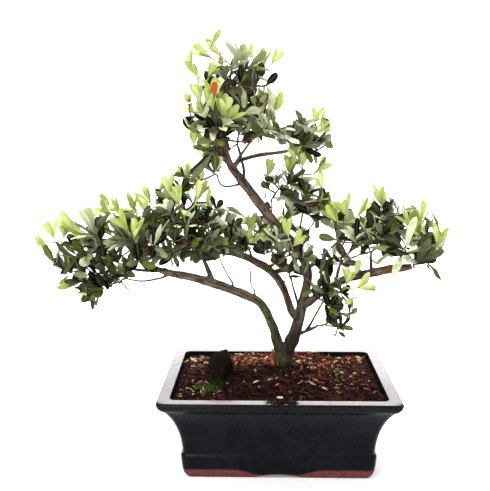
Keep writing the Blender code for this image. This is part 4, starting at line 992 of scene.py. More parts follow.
def rod(radius, length, centre, axis, sides):
    work = bmesh.new()
    bmesh.ops.create_cone(work, cap_ends=True, segments=sides, radius1=radius, radius2=radius, depth=length)
    turn = Vector((0, 0, 1)).rotation_difference(Vector(axis)).to_matrix().to_4x4()
    bmesh.ops.transform(work, matrix=Matrix.Translation(centre) @ turn, verts=work.verts)
    return object_from(work, "rod")


def place_piece(item, slot, *nodes):
    """Move a piece from the pot's middle to the row frame and tie it to the part."""
    item.data.transform(SHIFT_MATRIX)
    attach(item, "root")
    if nodes:
        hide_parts(*nodes)


# Shader helpers

def put(tree, kind, inputs=None, **settings):
    """Add a node, set its options and fill its inputs with values or other nodes' outputs."""
    node = tree.nodes.new(kind)
    for name, value in settings.items():
        setattr(node, name, value)
    for name, value in (inputs or {}).items():
        fill(tree, node.inputs[name], value)
    return node


def fill(tree, socket, value):
    if isinstance(value, bpy.types.NodeSocket):
        tree.links.new(value, socket)
    elif socket.type == "RGBA" and len(value) == 3:
        socket.default_value = (*value, 1.0)
    else:
        socket.default_value = value


def blend(tree, factor, first, second, mode="MIX"):
    node = put(tree, "ShaderNodeMix", data_type="RGBA", blend_type=mode, clamp_result=True)
    for index, value in ((0, factor), (6, first), (7, second)):
        fill(tree, node.inputs[index], value)
    return node.outputs[2]


def partly(tree, mask, share, under, over, mode="MIX"):
    """Lay one colour over another by a share of a mask."""
    return blend(tree, times(tree, mask, share), under, over, mode)


def maths(tree, operation, first, second=0.0, clamp=False):
    node = put(tree, "ShaderNodeMath", operation=operation, use_clamp=clamp)
    fill(tree, node.inputs[0], first)
    fill(tree, node.inputs[1], second)
    return node.outputs[0]


def times(tree, first, second, clamp=False):
    return maths(tree, "MULTIPLY", first, second, clamp)


def plus(tree, first, second, clamp=False):
    return maths(tree, "ADD", first, second, clamp)


def minus(tree, first, second, clamp=False):
    return maths(tree, "SUBTRACT", first, second, clamp)


def most(tree, first, second, clamp=False):
    return maths(tree, "MAXIMUM", first, second, clamp)


def step(tree, value, low, high):
    """0 below low, 1 above high, smooth between; also falling, if low is above high."""
    inputs = {"Value": value, "From Min": low, "From Max": high}
    return put(tree, "ShaderNodeMapRange", inputs, interpolation_type="SMOOTHSTEP").outputs["Result"]


def speckle(tree, vector, scale, detail=3.0, roughness=0.55):
    inputs = {"Vector": vector, "Scale": scale, "Detail": detail, "Roughness": roughness}
    return put(tree, "ShaderNodeTexNoise", inputs).outputs["Fac"]


def parts_of(tree, vector):
    return put(tree, "ShaderNodeSeparateXYZ", {"Vector": vector}).outputs


def read_value(tree, name, vector=True):
    node = put(tree, "ShaderNodeAttribute", attribute_name=name)
    return node.outputs["Vector" if vector else "Fac"]


def object_place(tree):
    return put(tree, "ShaderNodeTexCoord").outputs["Object"]


def new_tree(kind, name, inputs, outputs):
    """An empty node tree with its named sockets; returns the tree and its two ends."""
    tree = bpy.data.node_groups.new(name, kind)
    for way, sockets in (("INPUT", inputs), ("OUTPUT", outputs)):
        for label, socket in sockets:
            tree.interface.new_socket(name=label, in_out=way, socket_type=socket)
    return tree, tree.nodes.new("NodeGroupInput").outputs, tree.nodes.new("NodeGroupOutput").inputs


def place_group(tree, group, inputs):
    return put(tree, "ShaderNodeGroup", inputs, node_tree=group).outputs


def new_finish(name, **constants):
    """A material with one Principled shader, and the values that are the same all over."""
    mat = bpy.data.materials.new(name)
    mat.use_nodes = True
    shader = mat.node_tree.nodes["Principled BSDF"]
    for label, value in constants.items():
        fill(mat.node_tree, shader.inputs[label.replace("_", " ")], value)
    return mat, mat.node_tree, shader


def finish_with(tree, shader, colour, roughness, height=None, depth=0.0002, strength=0.5):
    fill(tree, shader.inputs["Base Color"], colour)
    fill(tree, shader.inputs["Roughness"], roughness)
    if height is not None:
        inputs = {"Height": height, "Distance": depth, "Strength": strength}
        fill(tree, shader.inputs["Normal"], put(tree, "ShaderNodeBump", inputs).outputs["Normal"])


FLOAT = "NodeSocketFloat"
VECTOR = "NodeSocketVector"


def rough_skin_group():
    """Coarse patches, fine grain and pits, shared by bark, clay, soil, stone and glaze."""
    tree, given, result = new_tree(
        "ShaderNodeTree", "rough_skin",
        [("Vector", VECTOR), ("Scale", FLOAT), ("Pits", FLOAT)],
        [("Patches", FLOAT), ("Grain", FLOAT), ("Height", FLOAT)],
    )
    fine = times(tree, given["Scale"], 6.0)
    patches = speckle(tree, given["Vector"], given["Scale"], 4.0, 0.6)
    grain = speckle(tree, given["Vector"], fine, 3.0, 0.6)
    cells = put(tree, "ShaderNodeTexVoronoi", {"Vector": given["Vector"], "Scale": fine}).outputs["Distance"]
    pits = times(tree, step(tree, cells, 0.30, 0.05), given["Pits"])
    raised = plus(tree, times(tree, patches, 0.6), times(tree, grain, 0.4))
    fill(tree, result["Patches"], step(tree, patches, 0.34, 0.66))
    fill(tree, result["Grain"], step(tree, grain, 0.30, 0.70))
    fill(tree, result["Height"], minus(tree, raised, pits))
    return tree


def dust_and_sheen_group():
    """Where dust and soil settle, and where leaves get a painted sheen of light: faces that look up, broken
    by patches.
    """
    tree, given, result = new_tree(
        "ShaderNodeTree", "settled_dust", [("Vector", VECTOR), ("Amount", FLOAT)], [("Mask", FLOAT)]
    )
    up = parts_of(tree, put(tree, "ShaderNodeNewGeometry").outputs["Normal"])["Z"]
    patches = step(tree, speckle(tree, given["Vector"], 260.0, 5.0, 0.7), 0.42, 0.72)
    facing = step(tree, up, 0.15, 0.85)
    fill(tree, result["Mask"], times(tree, times(tree, patches, facing), given["Amount"]))
    return tree


def leaf_veins_group():
    """Midrib, side veins and margin of a blade from its own coordinates."""
    tree, given, result = new_tree(
        "ShaderNodeTree", "leaf_veins",
        [("Blade", VECTOR)],
        [("Midrib", FLOAT), ("Veins", FLOAT), ("Margin", FLOAT), ("Under", FLOAT), ("Height", FLOAT)],
    )
    axes = parts_of(tree, given["Blade"])
    away = maths(tree, "ABSOLUTE", axes["Y"])
    midrib = step(tree, away, 0.16, 0.03)
    slanted = minus(tree, axes["X"], times(tree, away, 0.16))
    wave = maths(tree, "SINE", times(tree, slanted, 52.0))
    veins = times(tree, step(tree, wave, 0.72, 1.0), step(tree, away, 0.95, 0.70))
    height = minus(tree, 1.0, most(tree, midrib, times(tree, veins, 0.6)))
    fill(tree, result["Midrib"], midrib)
    fill(tree, result["Veins"], veins)
    fill(tree, result["Margin"], step(tree, away, 0.86, 1.0))
    fill(tree, result["Under"], step(tree, axes["Z"], 0.4, 0.6))
    fill(tree, result["Height"], height)
    return tree


SKIN = rough_skin_group()
DUST_AND_SHEEN = dust_and_sheen_group()
VEINS = leaf_veins_group()


def rough_skin(tree, place, scale, pits):
    return place_group(tree, SKIN, {"Vector": place, "Scale": scale, "Pits": pits})


def settled_dust(tree, place, amount):
    return place_group(tree, DUST_AND_SHEEN, {"Vector": place, "Amount": amount})["Mask"]


# Tones of the leaves; those over 1 brighten what lies below.
LEAF_SHEEN = (0.95, 1.0, 0.60, 1.0)
LEAF_BRONZE = (0.090, 0.036, 0.030)
LEAF_MOTTLE = (0.62, 0.66, 0.60)
VEIN_LIFT = (1.5, 1.5, 1.4)
# Painted highlight: leaf margins drawn paler, as light catching the edges.
MARGIN_PAINTED_HIGHLIGHT = (1.7, 1.7, 1.6)
# Painted sheen: leaf faces that look up are drawn paler, as if lit from above.
PAINTED_SHEEN_LIFT = (2.1, 2.2, 1.9)
WITHERED_ORANGE = (0.40, 0.085, 0.025)
BUD_BROWN = (0.20, 0.085, 0.030)


def leaf_finish(name, dark, light, warm, under, rib, roughness, painted_sheen_share, bronze):
    """Blade finish: tone by leaf with painted light and shade, paler ribs and underside, darker patches, a
    painted highlight on the margin and a painted sheen on faces that look up.
    """
    mat, tree, shader = new_finish(name, Specular_IOR_Level=0.04, Specular_Tint=LEAF_SHEEN)
    tint = parts_of(tree, read_value(tree, "tint"))
    # Painted sheen of light on the faces that look up.
    painted_sheen = settled_dust(tree, object_place(tree), 1.0)
    veins = place_group(tree, VEINS, {"Blade": read_value(tree, "blade")})
    skin = rough_skin(tree, object_place(tree), 120.0, 0.0)
    tone = blend(tree, maths(tree, "POWER", step(tree, tint["X"], 0.06, 0.78), 2.0, True), dark, light)
    tone = partly(tree, step(tree, tint["Y"], 0.62, 1.0), 0.8, tone, warm)
    tone = partly(tree, step(tree, tint["Y"], 0.08, 0.03), bronze, tone, LEAF_BRONZE)
    mottled = blend(tree, skin["Patches"], tone, LEAF_MOTTLE, "MULTIPLY")
    ribbed = partly(tree, veins["Veins"], 0.5, mottled, VEIN_LIFT, "MULTIPLY")
    # Painted highlight along the margin.
    ribbed = partly(tree, veins["Margin"], 0.35, ribbed, MARGIN_PAINTED_HIGHLIGHT, "MULTIPLY")
    ribbed = partly(tree, veins["Midrib"], 0.22, ribbed, rib)
    below = blend(tree, 0.20, tone, under)
    below = partly(tree, veins["Midrib"], 0.4, below, rib)
    sided = blend(tree, veins["Under"], ribbed, below)
    with_painted_sheen = partly(tree, painted_sheen, painted_sheen_share, sided, PAINTED_SHEEN_LIFT, "MULTIPLY")
    browned = blend(tree, step(tree, tint["Z"], 0.8, 1.0), with_painted_sheen, WITHERED_ORANGE)
    colour = blend(tree, times(tree, step(tree, tint["Z"], 0.3, 0.5), step(tree, tint["Z"], 0.8, 0.6)),
                   browned, BUD_BROWN)
    dull = times(tree, veins["Under"], 0.25)
    gloss = plus(tree, plus(tree, times(tree, skin["Grain"], 0.10), roughness), dull)
    finish_with(tree, shader, colour, gloss, veins["Height"], 0.00012, 0.35)
    return mat


def twig_finish(name, dark, light, green):
    """Young bark: fine grain and small pits like lenticels over a two-tone skin, greener in patches."""
    mat, tree, shader = new_finish(name, Specular_IOR_Level=0.3)
    place = object_place(tree)
    skin = rough_skin(tree, place, 240.0, 0.5)
    tone = blend(tree, skin["Patches"], dark, light)
    greened = partly(tree, step(tree, speckle(tree, place, 45.0), 0.5, 0.7), 0.5, tone, green)
    finish_with(tree, shader, greened, 0.72, skin["Height"], 0.0003, 0.6)
    return mat


# Tones of the bark.
BARK_DARK = (0.018, 0.013, 0.010)
BARK_LIGHT = (0.150, 0.124, 0.088)
BARK_FLAKE = (0.300, 0.262, 0.205)
THIN_LIMB_PINK = (0.185, 0.055, 0.038)
ALGAE_DARK = (0.046, 0.052, 0.018)
ALGAE_LIGHT = (0.150, 0.165, 0.052)
CRACK_DARK = (0.012, 0.009, 0.006)
FOOT_OLIVE = (0.090, 0.092, 0.022)
FOOT_PAINTED_SHADE = (0.016, 0.012, 0.008)
LOW_PAINTED_SHADE = (0.024, 0.018, 0.009)
SOIL_STAIN = (0.014, 0.008, 0.006)


def bark_finish():
    """Grey-brown bark with long cracks; green with algae low down, pinkish on thin limbs; painted shade on
    the right of the foot and towards the foot.
    """
    mat, tree, shader = new_finish("bark", Specular_IOR_Level=0.12)
    grain = read_value(tree, "grain")
    where = parts_of(tree, read_value(tree, "skin"))
    skin = rough_skin(tree, grain, 170.0, 0.9)
    flakes = rough_skin(tree, grain, 620.0, 0.6)
    cracks = step(tree, speckle(tree, grain, 400.0, 5.0, 0.7), 0.50, 0.40)
    base = blend(tree, skin["Patches"], BARK_DARK, BARK_LIGHT)
    base = partly(tree, step(tree, flakes["Grain"], 0.45, 1.0), 0.6, base, BARK_FLAKE)
    rosy = step(tree, speckle(tree, object_place(tree), 70.0, 4.0, 0.6), 0.44, 0.62)
    rosy = times(tree, rosy, plus(tree, times(tree, where["Y"], 0.75), 0.15))
    pink = blend(tree, rosy, base, THIN_LIMB_PINK)
    broken = step(tree, plus(tree, where["X"], times(tree, skin["Patches"], 0.30)), 0.45, 1.15)
    algae = blend(tree, skin["Patches"], ALGAE_DARK, ALGAE_LIGHT)
    green = partly(tree, broken, 0.80, pink, algae)
    dark = partly(tree, cracks, 0.8, green, CRACK_DARK)
    place = parts_of(tree, object_place(tree))
    low = place["Z"]
    foot = step(tree, low, 0.150, 0.118)
    left_side = step(tree, place["X"], ORIGIN_SHIFT[0] + 0.010, ORIGIN_SHIFT[0] + 0.001)
    dark = partly(tree, times(tree, foot, left_side), 0.45, dark, FOOT_OLIVE)
    # Painted shade on the right of the trunk's foot.
    right_side = step(tree, place["X"], ORIGIN_SHIFT[0] + 0.004, ORIGIN_SHIFT[0] + 0.014)
    dark = partly(tree, times(tree, foot, right_side), 0.60, dark, FOOT_PAINTED_SHADE)
    # Painted shade, darker towards the foot of the trunk.
    shaded = partly(tree, step(tree, low, 0.165, 0.105), 0.45, dark, LOW_PAINTED_SHADE)
    colour = partly(tree, step(tree, low, 0.098, 0.090), 0.6, shaded, SOIL_STAIN)
    height = minus(tree, plus(tree, skin["Height"], times(tree, flakes["Height"], 0.5)),
                   times(tree, cracks, 0.8))
    rough = plus(tree, 0.72, times(tree, flakes["Grain"], 0.2))
    finish_with(tree, shader, colour, rough, height, 0.0008, 0.9)
    return mat


# Tones of the pot, then the heights between which its clay, its stain and its pale rim end.
GLAZE_DARK = (0.0016, 0.0017, 0.0030)
GLAZE_LIGHT = (0.0048, 0.0050, 0.0085)
GLAZE_GRAIN = (0.0085, 0.0085, 0.0125)
CLAY_DARK = (0.092, 0.022, 0.024)
CLAY_LIGHT = (0.175, 0.046, 0.046)
CLAY_GRAIN = (0.215, 0.085, 0.076)
GLAZE_STAIN = (0.050, 0.022, 0.020)
RIM_PALE = (0.345, 0.318, 0.318)
RIM_SMEAR = (0.250, 0.228, 0.230)
RIM_SPECK = (0.070, 0.060, 0.060)
POT_DUST = (0.030, 0.022, 0.020)
CLAY_LINE = (0.0104, 0.0096)
STAIN_LINE = (0.0122, 0.0106)
PALE_LINE = (0.0909, 0.0915)


def pot_finish():
    """Dark blue-black glaze, a pale worn rim and bare red clay at the feet."""
    mat, tree, shader = new_finish("pot_glaze", Specular_IOR_Level=0.05, Coat_Roughness=0.12)
    place = object_place(tree)
    axes = parts_of(tree, place)
    facing = parts_of(tree, put(tree, "ShaderNodeNewGeometry").outputs["Normal"])["Z"]
    pooled = rough_skin(tree, place, 55.0, 0.25)
    clay = rough_skin(tree, place, 330.0, 0.6)
    dust = settled_dust(tree, place, 0.35)
    glaze = blend(tree, pooled["Patches"], GLAZE_DARK, GLAZE_LIGHT)
    glaze = partly(tree, clay["Grain"], 0.25, glaze, GLAZE_GRAIN)
    wander = times(tree, minus(tree, speckle(tree, place, 60.0, 4.0), 0.5), 0.0024)
    line = plus(tree, axes["Z"], wander)
    middle = step(tree, maths(tree, "ABSOLUTE", minus(tree, axes["X"], ORIGIN_SHIFT[0])), 0.046, 0.018)
    line = plus(tree, line, times(tree, middle, 0.0065))
    foot = step(tree, line, *CLAY_LINE)
    below = times(tree, step(tree, facing, -0.55, -0.75), step(tree, axes["Z"], 0.014, 0.012))
    bare = most(tree, foot, below, True)
    clay_tone = blend(tree, clay["Patches"], CLAY_DARK, CLAY_LIGHT)
    clay_tone = partly(tree, clay["Grain"], 0.35, clay_tone, CLAY_GRAIN)
    scum = times(tree, step(tree, line, *STAIN_LINE), 0.5)
    dressed = blend(tree, scum, glaze, GLAZE_STAIN)
    rim_line = plus(tree, axes["Z"], times(tree, wander, 0.35))
    rim = times(tree, step(tree, rim_line, *PALE_LINE), step(tree, facing, 0.93, 0.985))
    off_spill = maths(tree, "ABSOLUTE", minus(tree, axes["X"], ORIGIN_SHIFT[0] + SPILL_X))
    spilt = step(tree, off_spill, 0.021, 0.012)
    spilt = times(tree, spilt, step(tree, axes["Y"], -0.070, -0.075))
    spilt = times(tree, spilt, step(tree, speckle(tree, place, 190.0, 4.0, 0.6), 0.40, 0.50))
    rim = times(tree, rim, minus(tree, 1.0, spilt))
    specks = step(tree, speckle(tree, place, 420.0, 4.0, 0.7), 0.70, 0.76)
    smears = step(tree, speckle(tree, place, 70.0, 5.0, 0.65), 0.50, 0.75)
    pale = partly(tree, smears, 0.6, RIM_PALE, RIM_SMEAR)
    pale = partly(tree, specks, 0.8, pale, RIM_SPECK)
    rimmed = partly(tree, rim, 0.97, dressed, pale)
    dusty = blend(tree, times(tree, dust, minus(tree, 1.0, rim)), rimmed, POT_DUST)
    colour = blend(tree, bare, dusty, clay_tone)
    rough = plus(tree, 0.20, times(tree, pooled["Grain"], 0.12))
    rough = most(tree, rough, times(tree, bare, 0.88))
    rough = most(tree, rough, times(tree, dust, 1.6), True)
    height = plus(tree, times(tree, pooled["Height"], 0.5),
                   times(tree, clay["Height"], plus(tree, 0.08, bare)))
    finish_with(tree, shader, colour, rough, height, 0.0005, 0.35)
    fill(tree, shader.inputs["Coat Weight"], minus(tree, 0.035, times(tree, bare, 0.035), True))
    return mat


# Tones of the soil.
SOIL_DARK = (0.004, 0.0016, 0.0012)
SOIL_LIGHT = (0.026, 0.009, 0.007)
SOIL_GRAIN = (0.046, 0.016, 0.012)
SOIL_WET = (0.004, 0.0018, 0.0014)


def soil_finish():
    mat, tree, shader = new_finish("soil", Specular_IOR_Level=0.05)
    place = object_place(tree)
    skin = rough_skin(tree, place, 150.0, 0.8)
    crumb = rough_skin(tree, place, 620.0, 0.8)
    wet = step(tree, speckle(tree, place, 28.0, 3.0), 0.38, 0.62)
    base = blend(tree, skin["Patches"], SOIL_DARK, SOIL_LIGHT)
    base = partly(tree, crumb["Grain"], 0.4, base, SOIL_GRAIN)
    colour = partly(tree, wet, 0.5, base, SOIL_WET)
    height = plus(tree, skin["Height"], times(tree, crumb["Height"], 0.6))
    finish_with(tree, shader, colour, minus(tree, 0.95, times(tree, wet, 0.2)), height, 0.0012, 1.0)
    return mat


def litter_finish(name, dark, light, roughness=0.85, specular=0.08):
    """Loose bits on the soil: each its own tone, with a fibrous grain."""
    mat, tree, shader = new_finish(name, Specular_IOR_Level=specular)
    tint = read_value(tree, "tint", False)
    skin = rough_skin(tree, object_place(tree), 400.0, 0.6)
    tone = blend(tree, tint, dark, light)
    shaded = partly(tree, skin["Patches"], 0.45, tone, [c * 0.35 for c in dark])
    finish_with(tree, shader, shaded, roughness, skin["Height"], 0.0004, 0.8)
    return mat


# Tones of the stone and its moss.
STONE_DARK = (0.0030, 0.0022, 0.0018)
STONE_LIGHT = (0.0150, 0.0105, 0.0085)
STONE_GRIT = (0.085, 0.044, 0.032)
MOSS_DARK = (0.006, 0.012, 0.004)
MOSS_LIGHT = (0.040, 0.072, 0.014)


def stone_finish():
    """Dark damp stone under moss, greener towards its foot."""
    mat, tree, shader = new_finish("mossy_stone", Specular_IOR_Level=0.05)
    place = object_place(tree)
    skin = rough_skin(tree, place, 130.0, 0.9)
    tufts = rough_skin(tree, place, 480.0, 0.4)
    low = step(tree, parts_of(tree, place)["Z"], 0.104, 0.088)
    cover = step(tree, plus(tree, times(tree, skin["Patches"], 0.8), low), 0.75, 1.35)
    stone = blend(tree, skin["Patches"], STONE_DARK, STONE_LIGHT)
    stone = partly(tree, step(tree, tufts["Grain"], 0.70, 1.0), 0.5, stone, STONE_GRIT)
    moss = blend(tree, tufts["Grain"], MOSS_DARK, MOSS_LIGHT)
    colour = partly(tree, cover, 0.85, stone, moss)
    height = plus(tree, skin["Height"], times(tree, tufts["Height"], 0.7))
    finish_with(tree, shader, colour, 0.88, height, 0.0012, 1.0)
    return mat


# Tones of the nets over the drain holes.
NET_DARK = (0.012, 0.016, 0.012)
NET_LIGHT = (0.028, 0.034, 0.028)
NET_DUST = (0.060, 0.032, 0.022)


def mesh_finish():
    mat, tree, shader = new_finish("drainage_mesh", Specular_IOR_Level=0.4)
    place = object_place(tree)
    skin = rough_skin(tree, place, 300.0, 0.3)
    dust = settled_dust(tree, place, 0.8)
    tone = blend(tree, skin["Patches"], NET_DARK, NET_LIGHT)
    colour = blend(tree, dust, tone, NET_DUST)
    finish_with(tree, shader, colour, plus(tree, 0.5, times(tree, dust, 0.4)), skin["Height"], 0.0002)
    return mat


# Leafy sprays and young shoots

def leaf_outline(share, widest, wedge, fullness):
    """Half width of a unit blade: wedge-shaped towards its stalk, rounded towards its tip."""
    if share < widest:
        return max(0.035, 0.5 * math.sin(math.pi / 2 * share / widest) ** wedge)
    return 0.5 * math.sin(math.pi / 2 * (1 - share) / (1 - widest)) ** fullness


def leaf_pattern(name, widest, wedge, fullness, fold, curl, ripple, group):
    """A unit leaf along +Y: closed, folded along its midrib, with its blade coordinates."""
    shares = (0.0, 0.10, 0.24, 0.42, 0.60, 0.76, 0.89, 0.97)
    around = ((1, -1.0), (1, -0.5), (1, 0.0), (1, 0.5), (1, 1.0), (0, 0.5), (0, 0.0), (0, -0.5))
    verts = []
    blade = []
    for share in shares:
        half = leaf_outline(share, widest, wedge, fullness)
        for side, across in around:
            rise = fold * abs(across) * half * 2 - curl * across * across * half
            rise += ripple * math.sin(share * 11 + across * 2.1 + widest * 9) * abs(across) * half
            thick = 0.010 * (1 - abs(across)) + 0.002
            rise += thick if side else -thick - 0.012 * (across == 0.0)
            if abs(across) == 1.0:
                rise -= thick
            verts.append((across * half, share, rise))
            blade.append((share, across, 0.5 if abs(across) == 1.0 else 1.0 - side))
    verts.append((0.0, 1.0, -curl * 0.06))
    blade.append((1.0, 0.0, 0.5))
    finish_pattern(name, verts, pointed_faces(len(shares), 8), group, blade)


def pointed_faces(rings, sides):
    """Faces of a closed shape that starts at a flat ring and ends in one point."""
    faces = [start_cap(sides), *side_faces(rings, sides)]
    last = (rings - 1) * sides
    for k in range(sides):
        faces.append((last + k, last + (k + 1) % sides, last + sides))
    return faces


def finish_pattern(name, verts, faces, group, blade=None):
    """A closed pattern with its faces outward, sharp margins crisp, and its blade coordinates."""
    item = make_object(name, verts, faces, group=group)
    if blade:
        store(item.data, "blade", "FLOAT_VECTOR", blade)
    work = bmesh.new()
    work.from_mesh(item.data)
    bmesh.ops.recalc_face_normals(work, faces=work.faces)
    work.to_mesh(item.data)
    work.free()
    shade(item, 60)


def bud_pattern(name, group):
    """A small pointed bud of overlapping scales."""
    verts = []
    blade = []
    for share, half in ((0.0, 0.30), (0.25, 0.48), (0.55, 0.42), (0.8, 0.22)):
        for k in range(7):
            angle = math.tau * (k / 7 + share * 0.5)
            ridge = 1.0 + 0.16 * (k % 2)
            verts.append((math.cos(angle) * half * ridge, share, math.sin(angle) * half * ridge * 0.45))
            blade.append((share, 0.5, 0.0))
    verts.append((0.0, 1.0, 0.0))
    blade.append((1.0, 0.5, 0.0))
    finish_pattern(name, verts, pointed_faces(4, 7), group, blade)


# Unit leaves: widest share, wedge, fullness, fold, curl, ripple. A bud follows the last of each kind.
OLD_PATTERNS = (
    (0.62, 1.05, 0.45, 0.05, 0.10, 0.04),
    (0.66, 1.20, 0.43, 0.08, 0.18, 0.06),
    (0.56, 0.90, 0.47, 0.03, -0.06, 0.05),
    (0.70, 1.25, 0.46, 0.10, 0.12, 0.05),
    (0.66, 1.10, 0.50, 0.14, 0.20, 0.08),
)
YOUNG_PATTERNS = (
    (0.62, 1.10, 0.45, 0.06, -0.05, 0.02),
    (0.66, 1.25, 0.43, 0.10, 0.06, 0.03),
    (0.56, 0.95, 0.47, 0.04, -0.08, 0.02),
)


def make_patterns(name, shapes):
    group = new_collection(name)
    for index, shape in enumerate(shapes):
        leaf_pattern("%s_%d" % (name, index), *shape, group)
    bud_pattern("%s_%d" % (name, len(shapes)), group)
    return group


def new_geometry_tree(name, inputs):
    geometry = ("Geometry", "NodeSocketGeometry")
    return new_tree("GeometryNodeTree", name, [geometry, *inputs], [geometry])


def named(tree, name, kind):
    return put(tree, "GeometryNodeInputNamedAttribute", {"Name": name}, data_type=kind).outputs["Attribute"]


def send_through(tree, kind, geometry, inputs=None):
    """Pass geometry through one node and give what comes out."""
    return put(tree, kind, {"Geometry": geometry, **(inputs or {})}).outputs["Geometry"]


def leafy_branchlet_tree():
    """Round twigs along the edges of a mesh, and one chosen leaf at each of its lone points."""
    tree, given, result = new_geometry_tree("leafy_branchlet", [
        ("Leaf patterns", "NodeSocketCollection"),
        ("Twig sides", "NodeSocketInt"),
        ("Leaf finish", "NodeSocketMaterial"),
        ("Twig finish", "NodeSocketMaterial"),
    ])
    woody = named(tree, "woody", "BOOLEAN")
    split = put(tree, "GeometryNodeSeparateGeometry", {"Geometry": given["Geometry"], "Selection": woody})
    lines = put(tree, "GeometryNodeMeshToCurve", {"Mesh": split.outputs["Selection"]}).outputs["Curve"]
    ring = put(tree, "GeometryNodeCurvePrimitiveCircle", {"Resolution": given["Twig sides"], "Radius": 1.0})
    twigs = put(tree, "GeometryNodeCurveToMesh", {
        "Curve": lines, "Profile Curve": ring.outputs["Curve"],
        "Scale": named(tree, "thickness", "FLOAT"), "Fill Caps": True}).outputs["Mesh"]
    shelf = put(tree, "GeometryNodeCollectionInfo", {
        "Collection": given["Leaf patterns"], "Separate Children": True, "Reset Children": True})
    turn = put(tree, "FunctionNodeEulerToRotation", {"Euler": named(tree, "turn", "FLOAT_VECTOR")})
    leaves = put(tree, "GeometryNodeInstanceOnPoints", {
        "Points": split.outputs["Inverted"], "Instance": shelf.outputs["Instances"], "Pick Instance": True,
        "Instance Index": named(tree, "variant", "INT"), "Rotation": turn.outputs["Rotation"],
        "Scale": named(tree, "size", "FLOAT_VECTOR")}).outputs["Instances"]
    whole = put(tree, "GeometryNodeJoinGeometry")
    tree.links.new(leaves, whole.inputs["Geometry"])
    tree.links.new(twigs, whole.inputs["Geometry"])
    plain = send_through(tree, "GeometryNodeRealizeInstances", whole.outputs["Geometry"])
    along = parts_of(tree, named(tree, "blade", "FLOAT_VECTOR"))["X"]
    share = maths(tree, "POWER", along, 2.0)
    sag = put(tree, "ShaderNodeVectorMath", {"Scale": share}, operation="SCALE")
    fill(tree, sag.inputs[0], named(tree, "sag", "FLOAT_VECTOR"))
    bent = send_through(tree, "GeometryNodeSetPosition", plain, {"Offset": sag.outputs["Vector"]})
    smooth = send_through(tree, "GeometryNodeSetShadeSmooth", bent, {"Selection": woody})
    green = send_through(tree, "GeometryNodeSetMaterial", smooth, {"Material": given["Leaf finish"]})
    twig_only = {"Selection": woody, "Material": given["Twig finish"]}
    fill(tree, result["Geometry"], send_through(tree, "GeometryNodeSetMaterial", green, twig_only))
    return tree


def twig_line(points, radii, start_deeper):
    """A twig's centre line with points between its own, and knuckles in its thickness."""
    points = list(points)
    radii = list(radii)
    if start_deeper:
        way = (points[1] - points[0]).normalized()
        points.insert(0, points[0] - way * 2.5 * MM)
        radii.insert(0, radii[0] * 0.9)
    line = []
    sizes = []
    for k in range(len(points) - 1):
        before = points[max(k - 1, 0)]
        after = points[min(k + 2, len(points) - 1)]
        for share in (0.0, 0.33, 0.66):
            line.append(catmull(before, points[k], points[k + 1], after, share))
            sizes.append(radii[k] + (radii[k + 1] - radii[k]) * share)
    line.append(points[-1])
    sizes.append(radii[-1] * 0.8)
    for k in range(2, len(sizes) - 1, 3):
        sizes[k] *= 1.24
    return line, sizes


def catmull(before, start, end, after, share):
    square = share * share
    cube = square * share
    return (start * 2 + (end - before) * share + (before * 2 - start * 5 + end * 4 - after) * square
            + (start * 3 - before - end * 3 + after) * cube) / 2


LIGHT_WAY = Vector((0.0, -1.0, 0.45)).normalized()
# By kind: how far blades twist to the light, how slim they are drawn, and lengths of their buds in mm.
LIGHT_TWIST = {"old": 0.35, "young": 1.1}
SLIMNESS = {"old": 0.93, "young": 0.88}
BUD_LENGTHS = {"old": (3.2, 4.6), "young": (2.0, 3.0)}
# Blades over this length are drawn narrower.
NARROW_LEAF = 25 * MM
# Patterns for slim flat blades, and for all others.
LONG_KINDS = (3, 4)
SHORT_KINDS = (0, 1, 2)


def facing_light(leaf, share):
    """The blade's upward direction, twisted on its stalk towards the light at the front and above."""
    side = 1.0 if leaf.normal.dot(LIGHT_WAY) > -0.15 else -1.0
    wanted = leaf.normal + LIGHT_WAY * share * side
    wanted -= leaf.along * wanted.dot(leaf.along)
    if wanted.length < 0.2:
        return leaf.normal
    return wanted.normalized()


def raised(leaf):
    """A young leaf held a little more upright and drawn longer and slimmer than its solid."""
    along = leaf.along + Vector((0.0, 0.0, 0.35))
    return Leaf(leaf.base, along, leaf.normal, leaf.length * 1.10, leaf.width * 0.88, leaf.bend, leaf.kind)


# Painted light and shade by clump: leaves drawn darker (below 1), as if shaded, or paler (above 1), as if
# lit, than the rest.
CLUMP_PAINTED_LIGHT = {
    "spray_left_low": 0.60, "spray_bough_end": 0.90, "spray_left_spur": 0.80, "spray_left_tip": 0.75,
    "spray_middle_end": 0.85, "spray_low_right": 0.50, "spray_low_right_rise": 0.75,
    "spray_right_spur": 0.85, "spray_crown_right": 1.15, "spray_crown_mid": 1.20,
    "spray_shoulder": 1.10, "spray_crown_left": 1.15, "spray_crown_low": 1.15, "spray_crown_top": 1.20,
    "spray_crown_tip": 1.20,
}


# Tone, warmth and withering that give a bud its brown.
BUD_TINT = (0.5, 0.0, 0.5)


